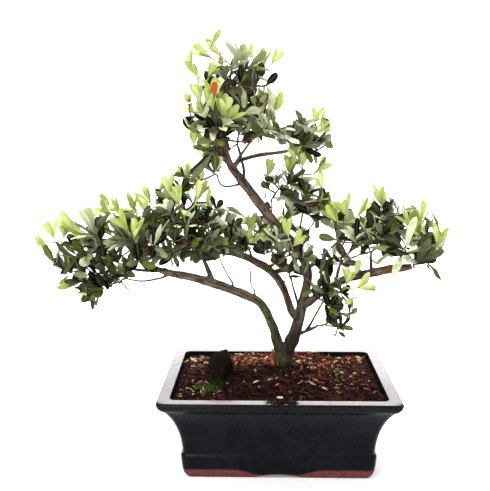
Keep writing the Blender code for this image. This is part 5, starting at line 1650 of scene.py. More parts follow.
def branchlet_points(plant, rng, patterns):
    """The mesh that the geometry tree dresses: twig edges and one point for each leaf."""
    verts = []
    edges = []
    rows = {"woody": [], "thickness": [], "turn": [], "size": [], "sag": [], "tint": [], "variant": []}
    zero = (0, 0, 0)

    def add(place, woody, thickness, turn=zero, size=zero, sag=zero, tint=zero, variant=0):
        verts.append(place)
        values = (woody, thickness, tuple(turn), tuple(size), tuple(sag), tint, variant)
        for name, value in zip(rows, values):
            rows[name].append(value)

    for number, (points, radii) in enumerate(plant.twigs):
        line, sizes = twig_line(points, radii, number == 0)
        for k, (place, size) in enumerate(zip(line, sizes)):
            add(place, True, size)
            if k:
                edges.append((len(verts) - 2, len(verts) - 1))
    low = min(leaf.base.z for leaf in plant.leaves)
    tall = max(0.02, max(leaf.base.z for leaf in plant.leaves) - low)
    for leaf in plant.leaves:
        if plant.kind == "young":
            leaf = raised(leaf)
        normal = facing_light(leaf, LIGHT_TWIST[plant.kind])
        frame_of_leaf = Matrix((leaf.along.cross(normal), leaf.along, normal)).transposed()
        roll = Matrix.Rotation(rng.uniform(-0.22, 0.22), 3, "Y")
        turn = (frame_of_leaf @ roll).to_euler("XYZ")
        if plant.kind == "old":
            variant = rng.choice(LONG_KINDS if leaf.length > FLAT_LEAF else SHORT_KINDS)
            # Random tone with painted light and shade: leaves high in their spray and leaves that face up are
            # drawn paler, low ones darker, and each clump is scaled by its painted light.
            tone_and_painted_light = rng.betavariate(0.42, 0.78) * (0.32 + 0.88 * (leaf.base.z - low) / tall)
            tone_and_painted_light += (0.22 if leaf.length > FLAT_LEAF else 0.0) + 0.35 * max(0.0, normal.z) * rng.random()
            tone_and_painted_light *= CLUMP_PAINTED_LIGHT.get(plant.name, 1.0)
        else:
            variant = rng.choice(SHORT_KINDS)
            tone_and_painted_light = rng.betavariate(2.2, 2.0)
        withered = (leaf.point(0.6) - Vector(WITHERED_LEAF)).length < 0.005
        tint = (tone_and_painted_light, rng.random(), 1.0 if withered else 0.0)
        sag = -normal * leaf.bend * leaf.length
        width = leaf.width * rng.uniform(0.98, 1.16) * (0.70 if leaf.length > NARROW_LEAF else 1.0)
        width *= SLIMNESS[plant.kind]
        add(leaf.base, False, 0.0, turn, (width, leaf.length, leaf.length), sag, tint, variant)
    for tip in plant.tips:
        if tip is None:
            continue
        place, last = tip[0], tip[1].normalized()
        side = last.orthogonal().normalized()
        turn = Matrix((side, last, side.cross(last))).transposed().to_euler("XYZ")
        length = rng.uniform(*BUD_LENGTHS[plant.kind]) * MM
        size = (length * 0.62, length, length * 1.3)
        add(place - last * 0.6 * MM, False, 0.0, turn, size, zero, BUD_TINT, len(patterns.objects) - 1)
    item = make_object(plant.name + "_leaves", verts, [], edges)
    kinds = {"woody": "BOOLEAN", "thickness": "FLOAT", "variant": "INT"}
    for name, values in rows.items():
        store(item.data, name, kinds.get(name, "FLOAT_VECTOR"), values)
    return item


def dress_branchlet(plant, tree, patterns, leaf, twig, slot, rng):
    item = branchlet_points(plant, rng, patterns)
    run_tree(item, tree, {
        "Leaf patterns": patterns, "Twig sides": 7, "Leaf finish": leaf, "Twig finish": twig})
    for name in ("turn", "size", "sag", "thickness", "variant", "woody"):
        layer = item.data.attributes.get(name)
        if layer is not None:
            item.data.attributes.remove(layer)
    place_piece(item, slot, plant.name)


# Trunk and branches

# How many broken-off stubs each limb carries.
SPURS = {"left": 7, "trunk": 9, "middle": 7, "right": 5}
SPUR_SEED = 9

# Thin bare twigs between the limbs: x, y, z in centimetres, radius in mm.
BARE_TWIGS = (
    ((-5.26, 0.93, 18.81, 1.5), (-5.1, 1.3, 19.4, 1.3), (-5.72, 2.53, 20.08, 1.15), (-6.5, 4.13, 21.19, 1.1),
     (-6.9, 5.3, 22.0, 1.0)),
    ((-2.85, 1.75, 17.60, 1.4), (-2.6, 1.95, 18.3, 1.2), (-3.1, 3.01, 19.15, 1.1), (-3.15, 4.27, 20.21, 1.05),
     (-3.47, 5.1, 21.0, 1.0)),
    ((2.70, 3.07, 15.65, 1.5), (2.35, 2.8, 16.5, 1.3), (2.25, 2.58, 17.48, 1.2), (1.78, 2.09, 19.01, 1.1),
     (1.55, 1.7, 20.3, 1.0)),
)


def dense_limb(name, points, radii):
    """Closely spaced points and radii along one limb, slightly uneven as grown wood is."""
    rng = random.Random(name)
    line = []
    sizes = []
    for k in range(len(points) - 1):
        before = points[max(k - 1, 0)]
        after = points[min(k + 2, len(points) - 1)]
        steps = max(2, round((points[k + 1] - points[k]).length / (2.2 * MM)))
        for j in range(steps):
            share = j / steps
            line.append(catmull(before, points[k], points[k + 1], after, share))
            sizes.append(radii[k] + (radii[k + 1] - radii[k]) * share)
    line.append(points[-1])
    sizes.append(radii[-1])
    phase = rng.uniform(0, 9)
    for k, place in enumerate(line):
        swell = noise.noise(place * 70 + Vector((phase, 0, 0)))
        sizes[k] *= 1.0 + 0.07 * swell
    for _ in range(max(1, len(line) // 14)):
        knot = rng.randrange(len(line))
        if sizes[knot] < 1.5 * MM:
            continue
        for k in range(max(0, knot - 2), min(len(line), knot + 3)):
            sizes[k] *= 1.0 + 0.09 / (1 + abs(k - knot))
    return line, sizes


def limb_frames(line):
    """One side direction per point, carried along so that it never twists."""
    sides = []
    ahead = (line[1] - line[0]).normalized()
    side = ahead.orthogonal().normalized()
    for k in range(len(line)):
        ahead = (line[min(k + 1, len(line) - 1)] - line[max(k - 1, 0)]).normalized()
        side = (side - ahead * side.dot(ahead)).normalized()
        sides.append((side, ahead.cross(side)))
    return sides


def limb_skin(line, sizes, sides):
    """A closed round bar along one limb."""
    verts = []
    for (side, other), place, radius in zip(limb_frames(line), line, sizes):
        for k in range(sides):
            angle = math.tau * k / sides
            verts.append(place + (side * math.cos(angle) + other * math.sin(angle)) * radius)
    return verts, [*side_faces(len(line), sides), start_cap(sides), end_cap(verts, sides)]


# Surface roots: turn in radians, reach and thickness in mm.
ROOTS = ((0.3, 15, 4.2), (1.5, 13, 3.6), (2.6, 16, 4.4), (3.7, 14, 4.6), (4.6, 16, 4.0), (5.5, 13, 3.8))


def root_flare():
    """Short surface roots that spread from the foot of the trunk into the soil."""
    foot = Vector((*TRUNK_FOOT, 0.0))
    flares = []
    for turn, reach, size in ROOTS:
        way = Vector((math.cos(turn), math.sin(turn), 0.0))
        line = [
            foot + way * 3 * MM + Vector((0, 0, 0.102)),
            foot + way * reach * 0.48 * MM + Vector((0, 0, 0.0960)),
            foot + way * reach * 0.74 * MM + Vector((0, 0, 0.0905)),
            foot + way * reach * 0.90 * MM + Vector((0, 0, 0.0860)),
        ]
        flares.append((line, [size * MM, size * 0.95 * MM, size * 0.7 * MM, size * 0.45 * MM]))
    return flares


def spurs_on(line, sizes, sides, count, rng):
    """Short stubs where twigs broke off, each leaning along its limb."""
    spurs = []
    for _ in range(count):
        k = rng.randrange(len(line) // 8, len(line) * 7 // 8)
        turn = rng.uniform(0, math.tau)
        ahead = (line[k + 1] - line[k]).normalized()
        outward = sides[k][0] * math.cos(turn) + sides[k][1] * math.sin(turn)
        way = (outward + ahead * rng.uniform(0.2, 0.7)).normalized()
        reach = sizes[k] + rng.uniform(1.2, 2.8) * MM
        size = rng.uniform(0.9, 1.5) * MM
        stub = [line[k], line[k] + way * reach * 0.6, line[k] + way * reach]
        spurs.append((stub, [size * 1.5, size * 1.25, size * 0.8]))
    return spurs


def build_wood(lines, finish):
    """Trunk and branches: one skin over all limbs, then bark relief along the grain."""
    verts = []
    faces = []
    samples = []
    rng = random.Random(SPUR_SEED)
    for name, (points, radii) in lines.items():
        line, sizes = dense_limb(name, points, radii)
        samples.append((name, line, sizes, limb_frames(line)))
    for rows in BARE_TWIGS:
        line, sizes = dense_limb("bare_twig", [to_metres(row) for row in rows], [row[3] * MM for row in rows])
        samples.append(("bare_twig", line, sizes, limb_frames(line)))
    for name, count in SPURS.items():
        _, line, sizes, sides = next(sample for sample in samples if sample[0] == name)
        for spur, spur_sizes in spurs_on(line, sizes, sides, count, rng):
            spur, spur_sizes = dense_limb("spur", spur, spur_sizes)
            samples.append(("spur", spur, spur_sizes, limb_frames(spur)))
    for line, sizes in root_flare():
        line, sizes = dense_limb("root", line, sizes)
        samples.append(("root", line, sizes, limb_frames(line)))
    for name, line, sizes, _ in samples:
        part_verts, part_faces = limb_skin(line, sizes, 18 if max(sizes) > 3 * MM else 12)
        start = len(verts)
        verts += part_verts
        faces += [tuple(index + start for index in face) for face in part_faces]
    wood = make_object("bark_of_trunk_and_branches", verts, faces)
    face_outward(wood)
    remesh = wood.modifiers.new("one_skin", "REMESH")
    remesh.mode = "VOXEL"
    remesh.voxel_size = BARK_VOXEL
    blur = wood.modifiers.new("soften_forks", "SMOOTH")
    blur.iterations = 3
    blur.factor = 0.5
    keep_evaluated(wood)
    carve_bark(wood, samples)
    shade(wood)
    set_finish(wood, finish)
    place_piece(wood, "bark", "trunk_and_branches")


def limb_table(samples):
    """The dense limb points, one a row: place, along, radius, the two sides and two skin marks."""
    rows = []
    for name, line, sizes, sides in samples:
        along = 0.0
        for k, place in enumerate(line):
            along += (place - line[k - 1]).length if k else 0.0
            algae = 0.0
            if name == "left":
                algae = 0.40 + 0.75 * math.exp(-((along - 0.062) / 0.026) ** 2) - 4.5 * max(0.0, along - 0.09)
            elif name in ("bole", "root"):
                algae = 0.62 if place.x < TRUNK_FOOT[0] + 0.002 else 0.20
            elif name == "trunk":
                algae = 0.10
            red = 0.75 if name in ("middle", "middle_twig", "right", "low_right") else 0.25
            red = max(red, min(1.0, (3.2 * MM - sizes[k]) / (2.0 * MM)))
            side, other = sides[k]
            rows.append((*place, along, sizes[k], *side, *other, max(0.0, algae), red))
    return np.array(rows)


# Bark relief: how fine and at most how deep its ridges and lumps are, and the points done at a time.
RIDGE_SCALE = 330.0
RIDGE_DEPTH = 0.42 * MM
LUMP_SCALE = 95.0
LUMP_DEPTH = 0.55 * MM
AT_A_TIME = 4000


def carve_bark(wood, samples):
    """Push the skin in and out along its grain, and keep the grain for the material."""
    table = limb_table(samples)
    mesh = wood.data
    count = len(mesh.vertices)
    places = np.empty(count * 3)
    mesh.vertices.foreach_get("co", places)
    places = places.reshape(-1, 3)
    normals = np.array([tuple(v.normal) for v in mesh.vertices])
    nearest = np.empty(count, dtype=int)
    for first in range(0, count, AT_A_TIME):
        gap = places[first:first + AT_A_TIME, None, :] - table[None, :, :3]
        reach = np.sqrt((gap ** 2).sum(2)) - table[None, :, 4]
        nearest[first:first + AT_A_TIME] = reach.argmin(1)
    near = table[nearest]
    away = places - near[:, :3]
    across = (away * near[:, 5:8]).sum(1)
    over = (away * near[:, 8:11]).sum(1)
    grain = np.stack([across, over, near[:, 3] * 0.20], 1)
    girth = near[:, 4]
    push = np.empty(count)
    for k in range(count):
        spot = Vector(grain[k])
        ridges = noise.fractal(spot * RIDGE_SCALE, 1.0, 2.1, 3)
        lumps = noise.noise(Vector(places[k]) * LUMP_SCALE)
        push[k] = ridges * min(RIDGE_DEPTH, girth[k] * 0.085) + lumps * min(LUMP_DEPTH, girth[k] * 0.09)
    places += normals * push[:, None]
    mesh.vertices.foreach_set("co", places.ravel())
    store(mesh, "grain", "FLOAT_VECTOR", grain)
    store(mesh, "skin", "FLOAT_VECTOR", np.stack([near[:, 11], near[:, 12], girth * 100], 1))
    mesh.update()


# Pot, soil, stone and litter

# Length in mm over which a run of the pot's profile is curved.
CURVED_RUN = 5.0


def fine_profile(rows, spacing):
    """Profile points with more between them on long runs, so that curves read as curves."""
    points = [Vector((inset, height, 0.0)) for inset, height in rows]
    result = []
    for k in range(len(points) - 1):
        length = (points[k + 1] - points[k]).length
        before = points[max(k - 1, 0)]
        after = points[min(k + 2, len(points) - 1)]
        steps = max(1, round(length / spacing))
        for j in range(steps):
            share = j / steps
            spot = points[k].lerp(points[k + 1], share)
            if length > CURVED_RUN:
                spot = catmull(before, points[k], points[k + 1], after, share)
            result.append((spot.x, spot.y))
    result.append((points[-1].x, points[-1].y))
    return result


def build_pot(finish):
    rings = []
    for inset, height in fine_profile(POT_OUTSIDE, 2.5) + fine_profile(POT_INSIDE, 4.0):
        rings.append(rounded_ring(inset * MM, height * MM, POT_CORNER_RADIUS))
    verts, faces = loft(rings)
    pot = make_object("glazed_pot", verts, faces)
    face_outward(pot)
    cut(pot, block((POT_LENGTH - FEET_TAKE, POT_DEPTH - FEET_TAKE, FOOT_RECESS * 2), (0, 0, 0)))
    arch_radius = (FOOT_ARCH_SPAN ** 2 / 4 + FOOT_ARCH_RISE ** 2) / (2 * FOOT_ARCH_RISE)
    for axis in ((0, 1, 0), (1, 0, 0)):
        cut(pot, rod(arch_radius, 0.3, Vector((0, 0, FOOT_ARCH_RISE - arch_radius)), axis, 128))
    for side in (-1, 1):
        cut(pot, rod(DRAIN_RADIUS, 0.03, Vector((side * DRAIN_OFFSET_X, 0, FLOOR_Z / 2)), (0, 0, 1), 32))
    bevel = pot.modifiers.new("soft_edges", "BEVEL")
    bevel.width = 0.7 * MM
    bevel.segments = 3
    bevel.limit_method = "ANGLE"
    bevel.angle_limit = math.radians(38)
    keep_evaluated(pot)
    shade(pot, 40)
    set_finish(pot, finish)
    place_piece(pot, "pot_glaze", "pot")


# Relief of the soil: how fine and how high its clods and crumbs are.
CLOD_SCALE = 95.0
CLOD_MM = 2.0
CRUMB_SCALE = 480.0
CRUMB_MM = 0.7


def soil_relief(x, y):
    """Fine unevenness of the soil: clods with crumbs on them."""
    spot = Vector((x, y, 0.0))
    clods = noise.fractal(spot * CLOD_SCALE, 0.9, 2.1, 4) * CLOD_MM * MM
    crumbs = noise.noise(spot * CRUMB_SCALE) * CRUMB_MM * MM
    return clods + crumbs


def build_soil(finish):
    """Filled pot: walls as in the solid, and a fine uneven top."""
    rim = rounded_ring(SOIL_INSET - 1.1 * MM, SOIL_EDGE_Z + 0.0015, POT_CORNER_RADIUS)
    divisions = []
    for k, point in enumerate(rim):
        run = (rim[(k + 1) % len(rim)] - point).length
        divisions.append(max(1, round(run / SOIL_STEP)))
    rim = dense_ring(rim, divisions)
    sides = [rounded_ring(inset * MM, z * MM, POT_CORNER_RADIUS) for inset, z in SOIL_SIDES]
    rings = [dense_ring(ring, divisions) for ring in sides] + [rim]
    focus = Vector((*TRUNK_FOOT, 0))
    steps = round(SOIL_REACH / SOIL_STEP)
    for k in range(1, steps):
        share = k / steps
        ring = []
        for point in rim:
            x = point.x + (focus.x - point.x) * share
            y = point.y + (focus.y - point.y) * share
            calm = min(1.0, share / 0.04)
            lift = 0.0030 * math.exp(-share / 0.12)
            ring.append(Vector((x, y, soil_height(x, y) + lift + soil_relief(x, y) * calm)))
        rings.append(ring)
    verts, faces = loft(rings)
    soil = make_object("soil_body", verts, faces)
    face_outward(soil)
    shade(soil)
    set_finish(soil, finish)
    return soil


def dense_ring(points, divisions):
    """The same closed outline with each run between its points divided as told."""
    result = []
    for k, steps in enumerate(divisions):
        following = points[(k + 1) % len(points)]
        for j in range(steps):
            result.append(points[k].lerp(following, j / steps))
    return result


# Stone: rings by share of its height and scale of its radius, and how fine its relief is.
STONE_RINGS = ((0.0, 0.98), (0.32, 0.98), (0.56, 1.12), (0.84, 0.98), (1.0, 0.66))
STONE_CORNERS = 9
STONE_SEED = 5
STONE_VOXEL = 0.0009
CRAG_SCALE = 75.0
TUFT_SCALE = 420.0


def build_stone(finish):
    """Rough block with a broken top, its moss standing proud of the stone."""
    rng = random.Random(STONE_SEED)
    rings = []
    for share, scale in STONE_RINGS:
        ring = []
        for k in range(STONE_CORNERS):
            angle = math.tau * k / STONE_CORNERS
            rough = 1.0 if share < 0.4 else rng.uniform(0.76, 1.10)
            radius = STONE_RADIUS * scale * rough
            height = STONE_BASE_Z + share * (STONE_TOP_Z - STONE_BASE_Z)
            if share > 0.4:
                height += rng.uniform(-0.0026, 0.0026)
            x = STONE_CENTRE[0] + radius * math.cos(angle)
            y = STONE_CENTRE[1] + radius * math.sin(angle)
            ring.append(Vector((x, y, height)))
        rings.append(ring)
    verts, faces = loft(rings)
    stone = make_object("moss_covered_stone", verts, faces)
    face_outward(stone)
    remesh = stone.modifiers.new("one_skin", "REMESH")
    remesh.mode = "VOXEL"
    remesh.voxel_size = STONE_VOXEL
    blur = stone.modifiers.new("soften", "SMOOTH")
    blur.iterations = 4
    keep_evaluated(stone)
    for vert in stone.data.vertices:
        spot = vert.co
        crags = noise.ridged_multi_fractal(spot * CRAG_SCALE, 0.9, 2.1, 4, 1.0, 2.0) - 1.0
        tufts = noise.fractal(spot * TUFT_SCALE, 0.8, 2.0, 3)
        vert.co = spot + vert.normal * (crags * 0.9 * MM + tufts * 0.8 * MM)
    shade(stone)
    set_finish(stone, finish)
    place_piece(stone, "mossy_stone", "mossy_stone")


# Rings of a unit lump: place along it, and radius.
LUMP_RINGS = ((-0.5, 0.30), (-0.28, 0.46), (0.05, 0.50), (0.32, 0.42), (0.5, 0.22))


def lump_pattern(name, group, stretch, seed, sides=6):
    """A rough closed lump, long along X by its stretch."""
    rng = random.Random(seed)
    verts = []
    for x, scale in LUMP_RINGS:
        for k in range(sides):
            angle = math.tau * k / sides
            radius = scale * rng.uniform(0.72, 1.12) / stretch
            along = x + rng.uniform(-0.04, 0.04)
            verts.append((along, radius * math.cos(angle), radius * math.sin(angle) * 0.62))
    faces = [start_cap(sides), end_cap(verts, sides), *side_faces(len(LUMP_RINGS), sides)]
    finish_pattern(name, verts, faces, group)


def shaving_pattern(name, group, turn, rise, seed):
    """A thin curled shaving: a flat ribbon that runs along an open curl."""
    rng = random.Random(seed)
    rows = 9
    verts = []
    for k in range(rows):
        share = k / (rows - 1)
        angle = (share - 0.5) * turn
        bow = max(turn, 0.4)
        bulge = (1 - math.cos(angle)) / bow * 0.8
        place = Vector((math.sin(angle) / bow, bulge, rise * share * (1 - share)))
        width = 0.085 * math.sin(math.pi * (0.12 + share * 0.76)) * rng.uniform(0.85, 1.15)
        lean = 0.5 + rng.uniform(-0.2, 0.2)
        for side, up in ((-1, 1), (1, 1), (1, -1), (-1, -1)):
            height = side * width * math.sin(lean) + up * 0.012
            verts.append(place + Vector((0, side * width * math.cos(lean), height)))
    finish_pattern(name, verts, [start_cap(4), end_cap(verts, 4), *side_faces(rows, 4)], group)


def fibre_pattern(name, group, bend, seed):
    """A hair-like fibre, three-sided, bent twice."""
    rng = random.Random(seed)
    rows = 7
    verts = []
    for k in range(rows):
        share = k / (rows - 1)
        height = 0.10 * math.sin(share * math.pi) + rng.uniform(-0.02, 0.02)
        place = Vector((share - 0.5, bend * math.sin(share * 4.2 + seed), height))
        for j in range(3):
            angle = math.tau * j / 3
            verts.append(place + Vector((0, math.cos(angle), math.sin(angle))) * 0.017 * (1.1 - share * 0.6))
    finish_pattern(name, verts, [start_cap(3), end_cap(verts, 3), *side_faces(rows, 3)], group)


def moss_pattern(name, group, seed):
    """A tuft of moss: a low cushion with pointed sprigs."""
    rng = random.Random(seed)
    verts = [(0.0, 0.0, -0.25)]
    sides = 7
    for radius, height in ((0.50, 0.0), (0.34, 0.30)):
        for k in range(sides):
            angle = math.tau * (k + (0.5 if height else 0.0)) / sides
            spread = radius * rng.uniform(0.75, 1.2)
            verts.append((spread * math.cos(angle), spread * math.sin(angle), height * rng.uniform(0.5, 1.9)))
    verts.append((0.0, 0.0, 0.42))
    top = len(verts) - 1
    faces = []
    for k in range(sides):
        following = (k + 1) % sides
        faces.append((0, 1 + following, 1 + k))
        faces.append((1 + k, 1 + following, 1 + sides + k))
        faces.append((1 + following, 1 + sides + following, 1 + sides + k))
        faces.append((1 + sides + k, 1 + sides + following, top))
    finish_pattern(name, verts, faces, group)


def scatter_tree():
    """Strew patterns over a surface by its density, each turned, sized, tinted and sunk a little."""
    tree, given, result = new_geometry_tree("strewn_litter", [
        ("Patterns", "NodeSocketCollection"),
        ("Per square metre", "NodeSocketFloat"),
        ("Smallest", "NodeSocketFloat"),
        ("Largest", "NodeSocketFloat"),
        ("Tilt", "NodeSocketFloat"),
        ("Sink", "NodeSocketFloat"),
        ("Seed", "NodeSocketInt"),
        ("Finish", "NodeSocketMaterial"),
    ])
    density = times(tree, given["Per square metre"], named(tree, "cover", "FLOAT"))
    spread = put(tree, "GeometryNodeDistributePointsOnFaces", {
        "Mesh": given["Geometry"], "Density": density, "Seed": given["Seed"]}).outputs["Points"]
    shelf = put(tree, "GeometryNodeCollectionInfo", {
        "Collection": given["Patterns"], "Separate Children": True, "Reset Children": True})
    size = random_number(tree, given["Smallest"], given["Largest"], given["Seed"], 1)
    low = times(tree, given["Tilt"], -1.0)
    euler = put(tree, "ShaderNodeCombineXYZ", {
        "X": random_number(tree, low, given["Tilt"], given["Seed"], 2),
        "Y": random_number(tree, low, given["Tilt"], given["Seed"], 3),
        "Z": random_number(tree, 0.0, math.tau, given["Seed"], 4)}).outputs["Vector"]
    turn = put(tree, "FunctionNodeEulerToRotation", {"Euler": euler}).outputs["Rotation"]
    placed = put(tree, "GeometryNodeInstanceOnPoints", {
        "Points": spread, "Instance": shelf.outputs["Instances"], "Pick Instance": True,
        "Rotation": turn, "Scale": size}).outputs["Instances"]
    number = put(tree, "GeometryNodeInputIndex").outputs[0]
    which = put(tree, "FunctionNodeRandomValue", {"ID": number}, data_type="INT")
    which.inputs[4].default_value = 0
    which.inputs[5].default_value = 50
    fill(tree, placed.node.inputs["Instance Index"], which.outputs[2])
    tinted = put(tree, "GeometryNodeStoreNamedAttribute", {"Geometry": placed, "Name": "tint"},
                 data_type="FLOAT", domain="INSTANCE")
    fill(tree, tinted.inputs["Value"], random_number(tree, 0.0, 1.0, given["Seed"], 5))
    drop = put(tree, "ShaderNodeCombineXYZ", {"Z": times(tree, given["Sink"], -1.0)}).outputs["Vector"]
    sunk = put(tree, "GeometryNodeTranslateInstances", {
        "Instances": tinted.outputs["Geometry"], "Translation": drop,
        "Local Space": False}).outputs["Instances"]
    plain = send_through(tree, "GeometryNodeRealizeInstances", sunk)
    done = send_through(tree, "GeometryNodeSetMaterial", plain, {"Material": given["Finish"]})
    fill(tree, result["Geometry"], done)
    return tree


def random_number(tree, low, high, seed, salt):
    node = put(tree, "FunctionNodeRandomValue", data_type="FLOAT")
    fill(tree, node.inputs[2], low)
    fill(tree, node.inputs[3], high)
    fill(tree, node.inputs["Seed"], plus(tree, seed, float(salt * 37)))
    return node.outputs[1]


# Where litter lies thicker: x, y and reach in metres, strength.
PALE_PATCHES = ((-0.103, 0.066, 0.013, 7.0), (-0.036, 0.064, 0.020, 3.0), (0.030, 0.040, 0.014, 2.0),
                (0.100, 0.074, 0.014, 3.0), (0.068, 0.010, 0.030, 1.4), (-0.085, -0.045, 0.014, 1.6))
MOSS_PATCHES = ((-0.082, -0.024, 0.005, 5.0), (-0.074, -0.034, 0.005, 5.0), (-0.084, -0.034, 0.009, 0.6),
                (0.066, 0.010, 0.010, 0.5), (0.022, 0.024, 0.008, 0.4), (-0.010, -0.015, 0.008, 0.15))
ORANGE_PATCHES = ((-0.040, 0.066, 0.013, 7.0), (-0.026, 0.052, 0.012, 5.0), (-0.009, 0.036, 0.005, 7.0),
                  (0.036, 0.070, 0.016, 3.5), (0.100, 0.072, 0.010, 4.0), (0.060, 0.020, 0.022, 1.2),
                  (-0.100, 0.020, 0.016, 1.0))
RED_PATCHES = ((-0.036, 0.066, 0.022, 5.0), (0.034, 0.074, 0.022, 4.0), (0.085, 0.035, 0.030, 2.2),
               (-0.095, 0.010, 0.020, 1.6))

# Curled shavings that lie in the open: x, y in metres, length in mm, turn in degrees, rise in mm, pattern.
OPEN_SHAVINGS = (
    (0.002, -0.0740, 14.3, 20, 4.2, 0), (-0.023, -0.0220, 12.3, 50, 0.8, 2),
    (-0.009, -0.0150, 11.7, 10, 0.8, 1), (0.000, -0.0120, 8.5, 75, 0.8, 0),
    (0.026, 0.0340, 12.3, 30, 1.6, 0), (0.031, 0.0420, 10.4, 10, 1.6, 1),
    (-0.104, 0.0640, 14.3, -35, 1.4, 1), (-0.099, 0.0560, 12.3, 25, 1.4, 0),
    (-0.110, 0.0560, 10.4, 60, 1.4, 2), (-0.093, 0.0650, 10.4, 10, 1.2, 3),
    (-0.086, 0.0560, 11.7, 70, 1.2, 2), (0.101, 0.0740, 13.0, -60, 1.6, 2),
    (0.104, 0.0690, 11.7, -20, 1.6, 4), (0.047, 0.0800, 12.3, -25, 1.4, 4),
    (0.079, 0.0760, 11.1, 20, 1.2, 4), (-0.045, 0.0780, 15.6, 12, 1.2, 4),
    (-0.024, 0.0600, 13.0, 40, 1.4, 1), (-0.012, 0.0520, 11.7, 65, 1.4, 2),
    (0.050, -0.0330, 9.8, -50, 0.8, 2), (0.068, 0.0070, 7.8, 60, 0.8, 1),
    (-0.088, -0.0100, 10.4, 55, 1.0, 2), (-0.080, -0.0480, 9.1, 70, 0.8, 1),
    (-0.100, 0.0350, 10.4, 20, 1.0, 1),
)


# No litter lies closer than this to the pot's wall or to the middle of the trunk, and it thins out
# over the fade.
LITTER_OFF_WALL = 0.0015
LITTER_OFF_TRUNK = 0.0085
LITTER_FADE = 0.003


def litter_ground(soil, name, patches, base):
    """A copy of the soil's open top that carries how thick one kind of litter lies."""
    work = bmesh.new()
    work.from_mesh(soil.data)
    low = SOIL_EDGE_Z - 0.004
    lower = [face for face in work.faces if face.calc_center_median().z < low or face.normal.z < 0.2]
    bmesh.ops.delete(work, geom=lower, context="FACES")
    item = object_from(work, name)
    cover = []
    for vert in item.data.vertices:
        x, y = vert.co.x, vert.co.y
        edge = min(POT_LENGTH / 2 - SOIL_INSET - abs(x), POT_DEPTH / 2 - SOIL_INSET - abs(y))
        trunk = math.hypot(x - TRUNK_FOOT[0], y - TRUNK_FOOT[1])
        value = base
        for patch_x, patch_y, reach, strength in patches:
            value += strength * math.exp(-((x - patch_x) ** 2 + (y - patch_y) ** 2) / (2 * reach * reach))
        by_wall = min(1.0, max(0.0, (edge - LITTER_OFF_WALL) / LITTER_FADE))
        by_trunk = min(1.0, max(0.0, (trunk - LITTER_OFF_TRUNK) / LITTER_FADE))
        value *= by_wall * by_trunk
        cover.append(value)
    store(item.data, "cover", "FLOAT", cover)
    return item


def strew(soil, tree, name, patterns, finish, patches, base, amounts):
    """Strew one kind of litter: many per square metre, of two sizes, tilted, sunk, and drawn by a seed."""
    per_square, smallest, largest, tilt, sink, seed = amounts
    item = litter_ground(soil, name, patches, base)
    run_tree(item, tree, {
        "Patterns": patterns, "Per square metre": float(per_square), "Smallest": smallest,
        "Largest": largest, "Tilt": tilt, "Sink": sink, "Seed": seed, "Finish": finish})
    place_piece(item, "soil")


def lay_one(work, tints, shape, place, lean, size, tint):
    count = len(work.verts)
    work.from_mesh(shape.data)
    work.verts.ensure_lookup_table()
    matrix = Matrix.LocRotScale(place, lean, Vector((size, size, size)))
    for vert in work.verts[count:]:
        vert.co = matrix @ vert.co
    tints += [tint] * (len(work.verts) - count)


def finish_laid(name, work, tints, finish):
    item = object_from(work, name)
    store(item.data, "tint", "FLOAT", tints)
    set_finish(item, finish)
    place_piece(item, "soil")


def spill_over_rim(patterns, finish, name, count, sizes, seed):
    """Crumbs that lie on the middle of the front rim, where soil was washed over it."""
    shapes = sorted(patterns.objects, key=lambda item: item.name)
    rng = random.Random(seed)
    work = bmesh.new()
    tints = []
    for _ in range(count):
        size = rng.uniform(*sizes) * MM
        x = SPILL_X + rng.gauss(0.0, SPILL_PLAY)
        y = -POT_DEPTH / 2 + rng.uniform(1.5 * MM, 10.5 * MM)
        lean = Euler((rng.uniform(-0.4, 0.4), rng.uniform(-0.25, 0.25), rng.uniform(0.0, math.tau)))
        place = Vector((x, y, RIM_Z + 0.12 * size))
        lay_one(work, tints, rng.choice(shapes), place, lean, size, rng.random())
    finish_laid(name, work, tints, finish)


# Flakes at the trunk: their middle turn and its play in degrees, their greatest rise and its play.
PILE_COUNT = 46
PILE_TURN = (190.0, 24.0)
PILE_TOP = 0.017
PILE_SLOPE = 0.0075
PILE_SEED = 31


def pile_at_trunk(patterns, finish):
    """Orange flakes heaped against the left of the trunk's foot."""
    shapes = sorted(patterns.objects, key=lambda item: item.name)
    rng = random.Random(PILE_SEED)
    work = bmesh.new()
    tints = []
    for _ in range(PILE_COUNT):
        turn = math.radians(rng.gauss(*PILE_TURN))
        rise = min(PILE_TOP, abs(rng.gauss(0.0, PILE_SLOPE)))
        reach = 0.0126 - 0.17 * rise + rng.uniform(0.0, 0.0014)
        x = TRUNK_FOOT[0] + reach * math.cos(turn)
        y = TRUNK_FOOT[1] + reach * math.sin(turn)
        lean = Euler((rng.uniform(-0.5, 0.5), rng.uniform(-1.5, 0.2), rng.uniform(0.0, math.tau)))
        place = Vector((x, y, SOIL_EDGE_Z + SOIL_MOUND + rise))
        lay_one(work, tints, rng.choice(shapes), place, lean, rng.uniform(3.0, 6.5) * MM, rng.random())
    finish_laid("flakes_at_trunk", work, tints, finish)


SHAVING_SEED = 17


def lay_open_shavings(soil, patterns, finish):
    """The largest curls, each laid one by one on top of the soil."""
    corners = [vert.co for vert in soil.data.vertices]
    ground = BVHTree.FromPolygons(corners, [face.vertices for face in soil.data.polygons])
    shapes = sorted(patterns.objects, key=lambda item: item.name)
    work = bmesh.new()
    tints = []
    rng = random.Random(SHAVING_SEED)
    for x, y, length, turn, rise, shape in OPEN_SHAVINGS:
        floor = ground.ray_cast(Vector((x, y, 0.2)), Vector((0, 0, -1)))[0]
        lean = Euler((rng.uniform(-0.25, 0.45), rng.uniform(-0.2, 0.2), math.radians(turn)))
        place = floor + Vector((0, 0, rise * MM))
        lay_one(work, tints, shapes[shape], place, lean, length * MM, rng.uniform(0.55, 1.0))
    finish_laid("open_shavings", work, tints, finish)


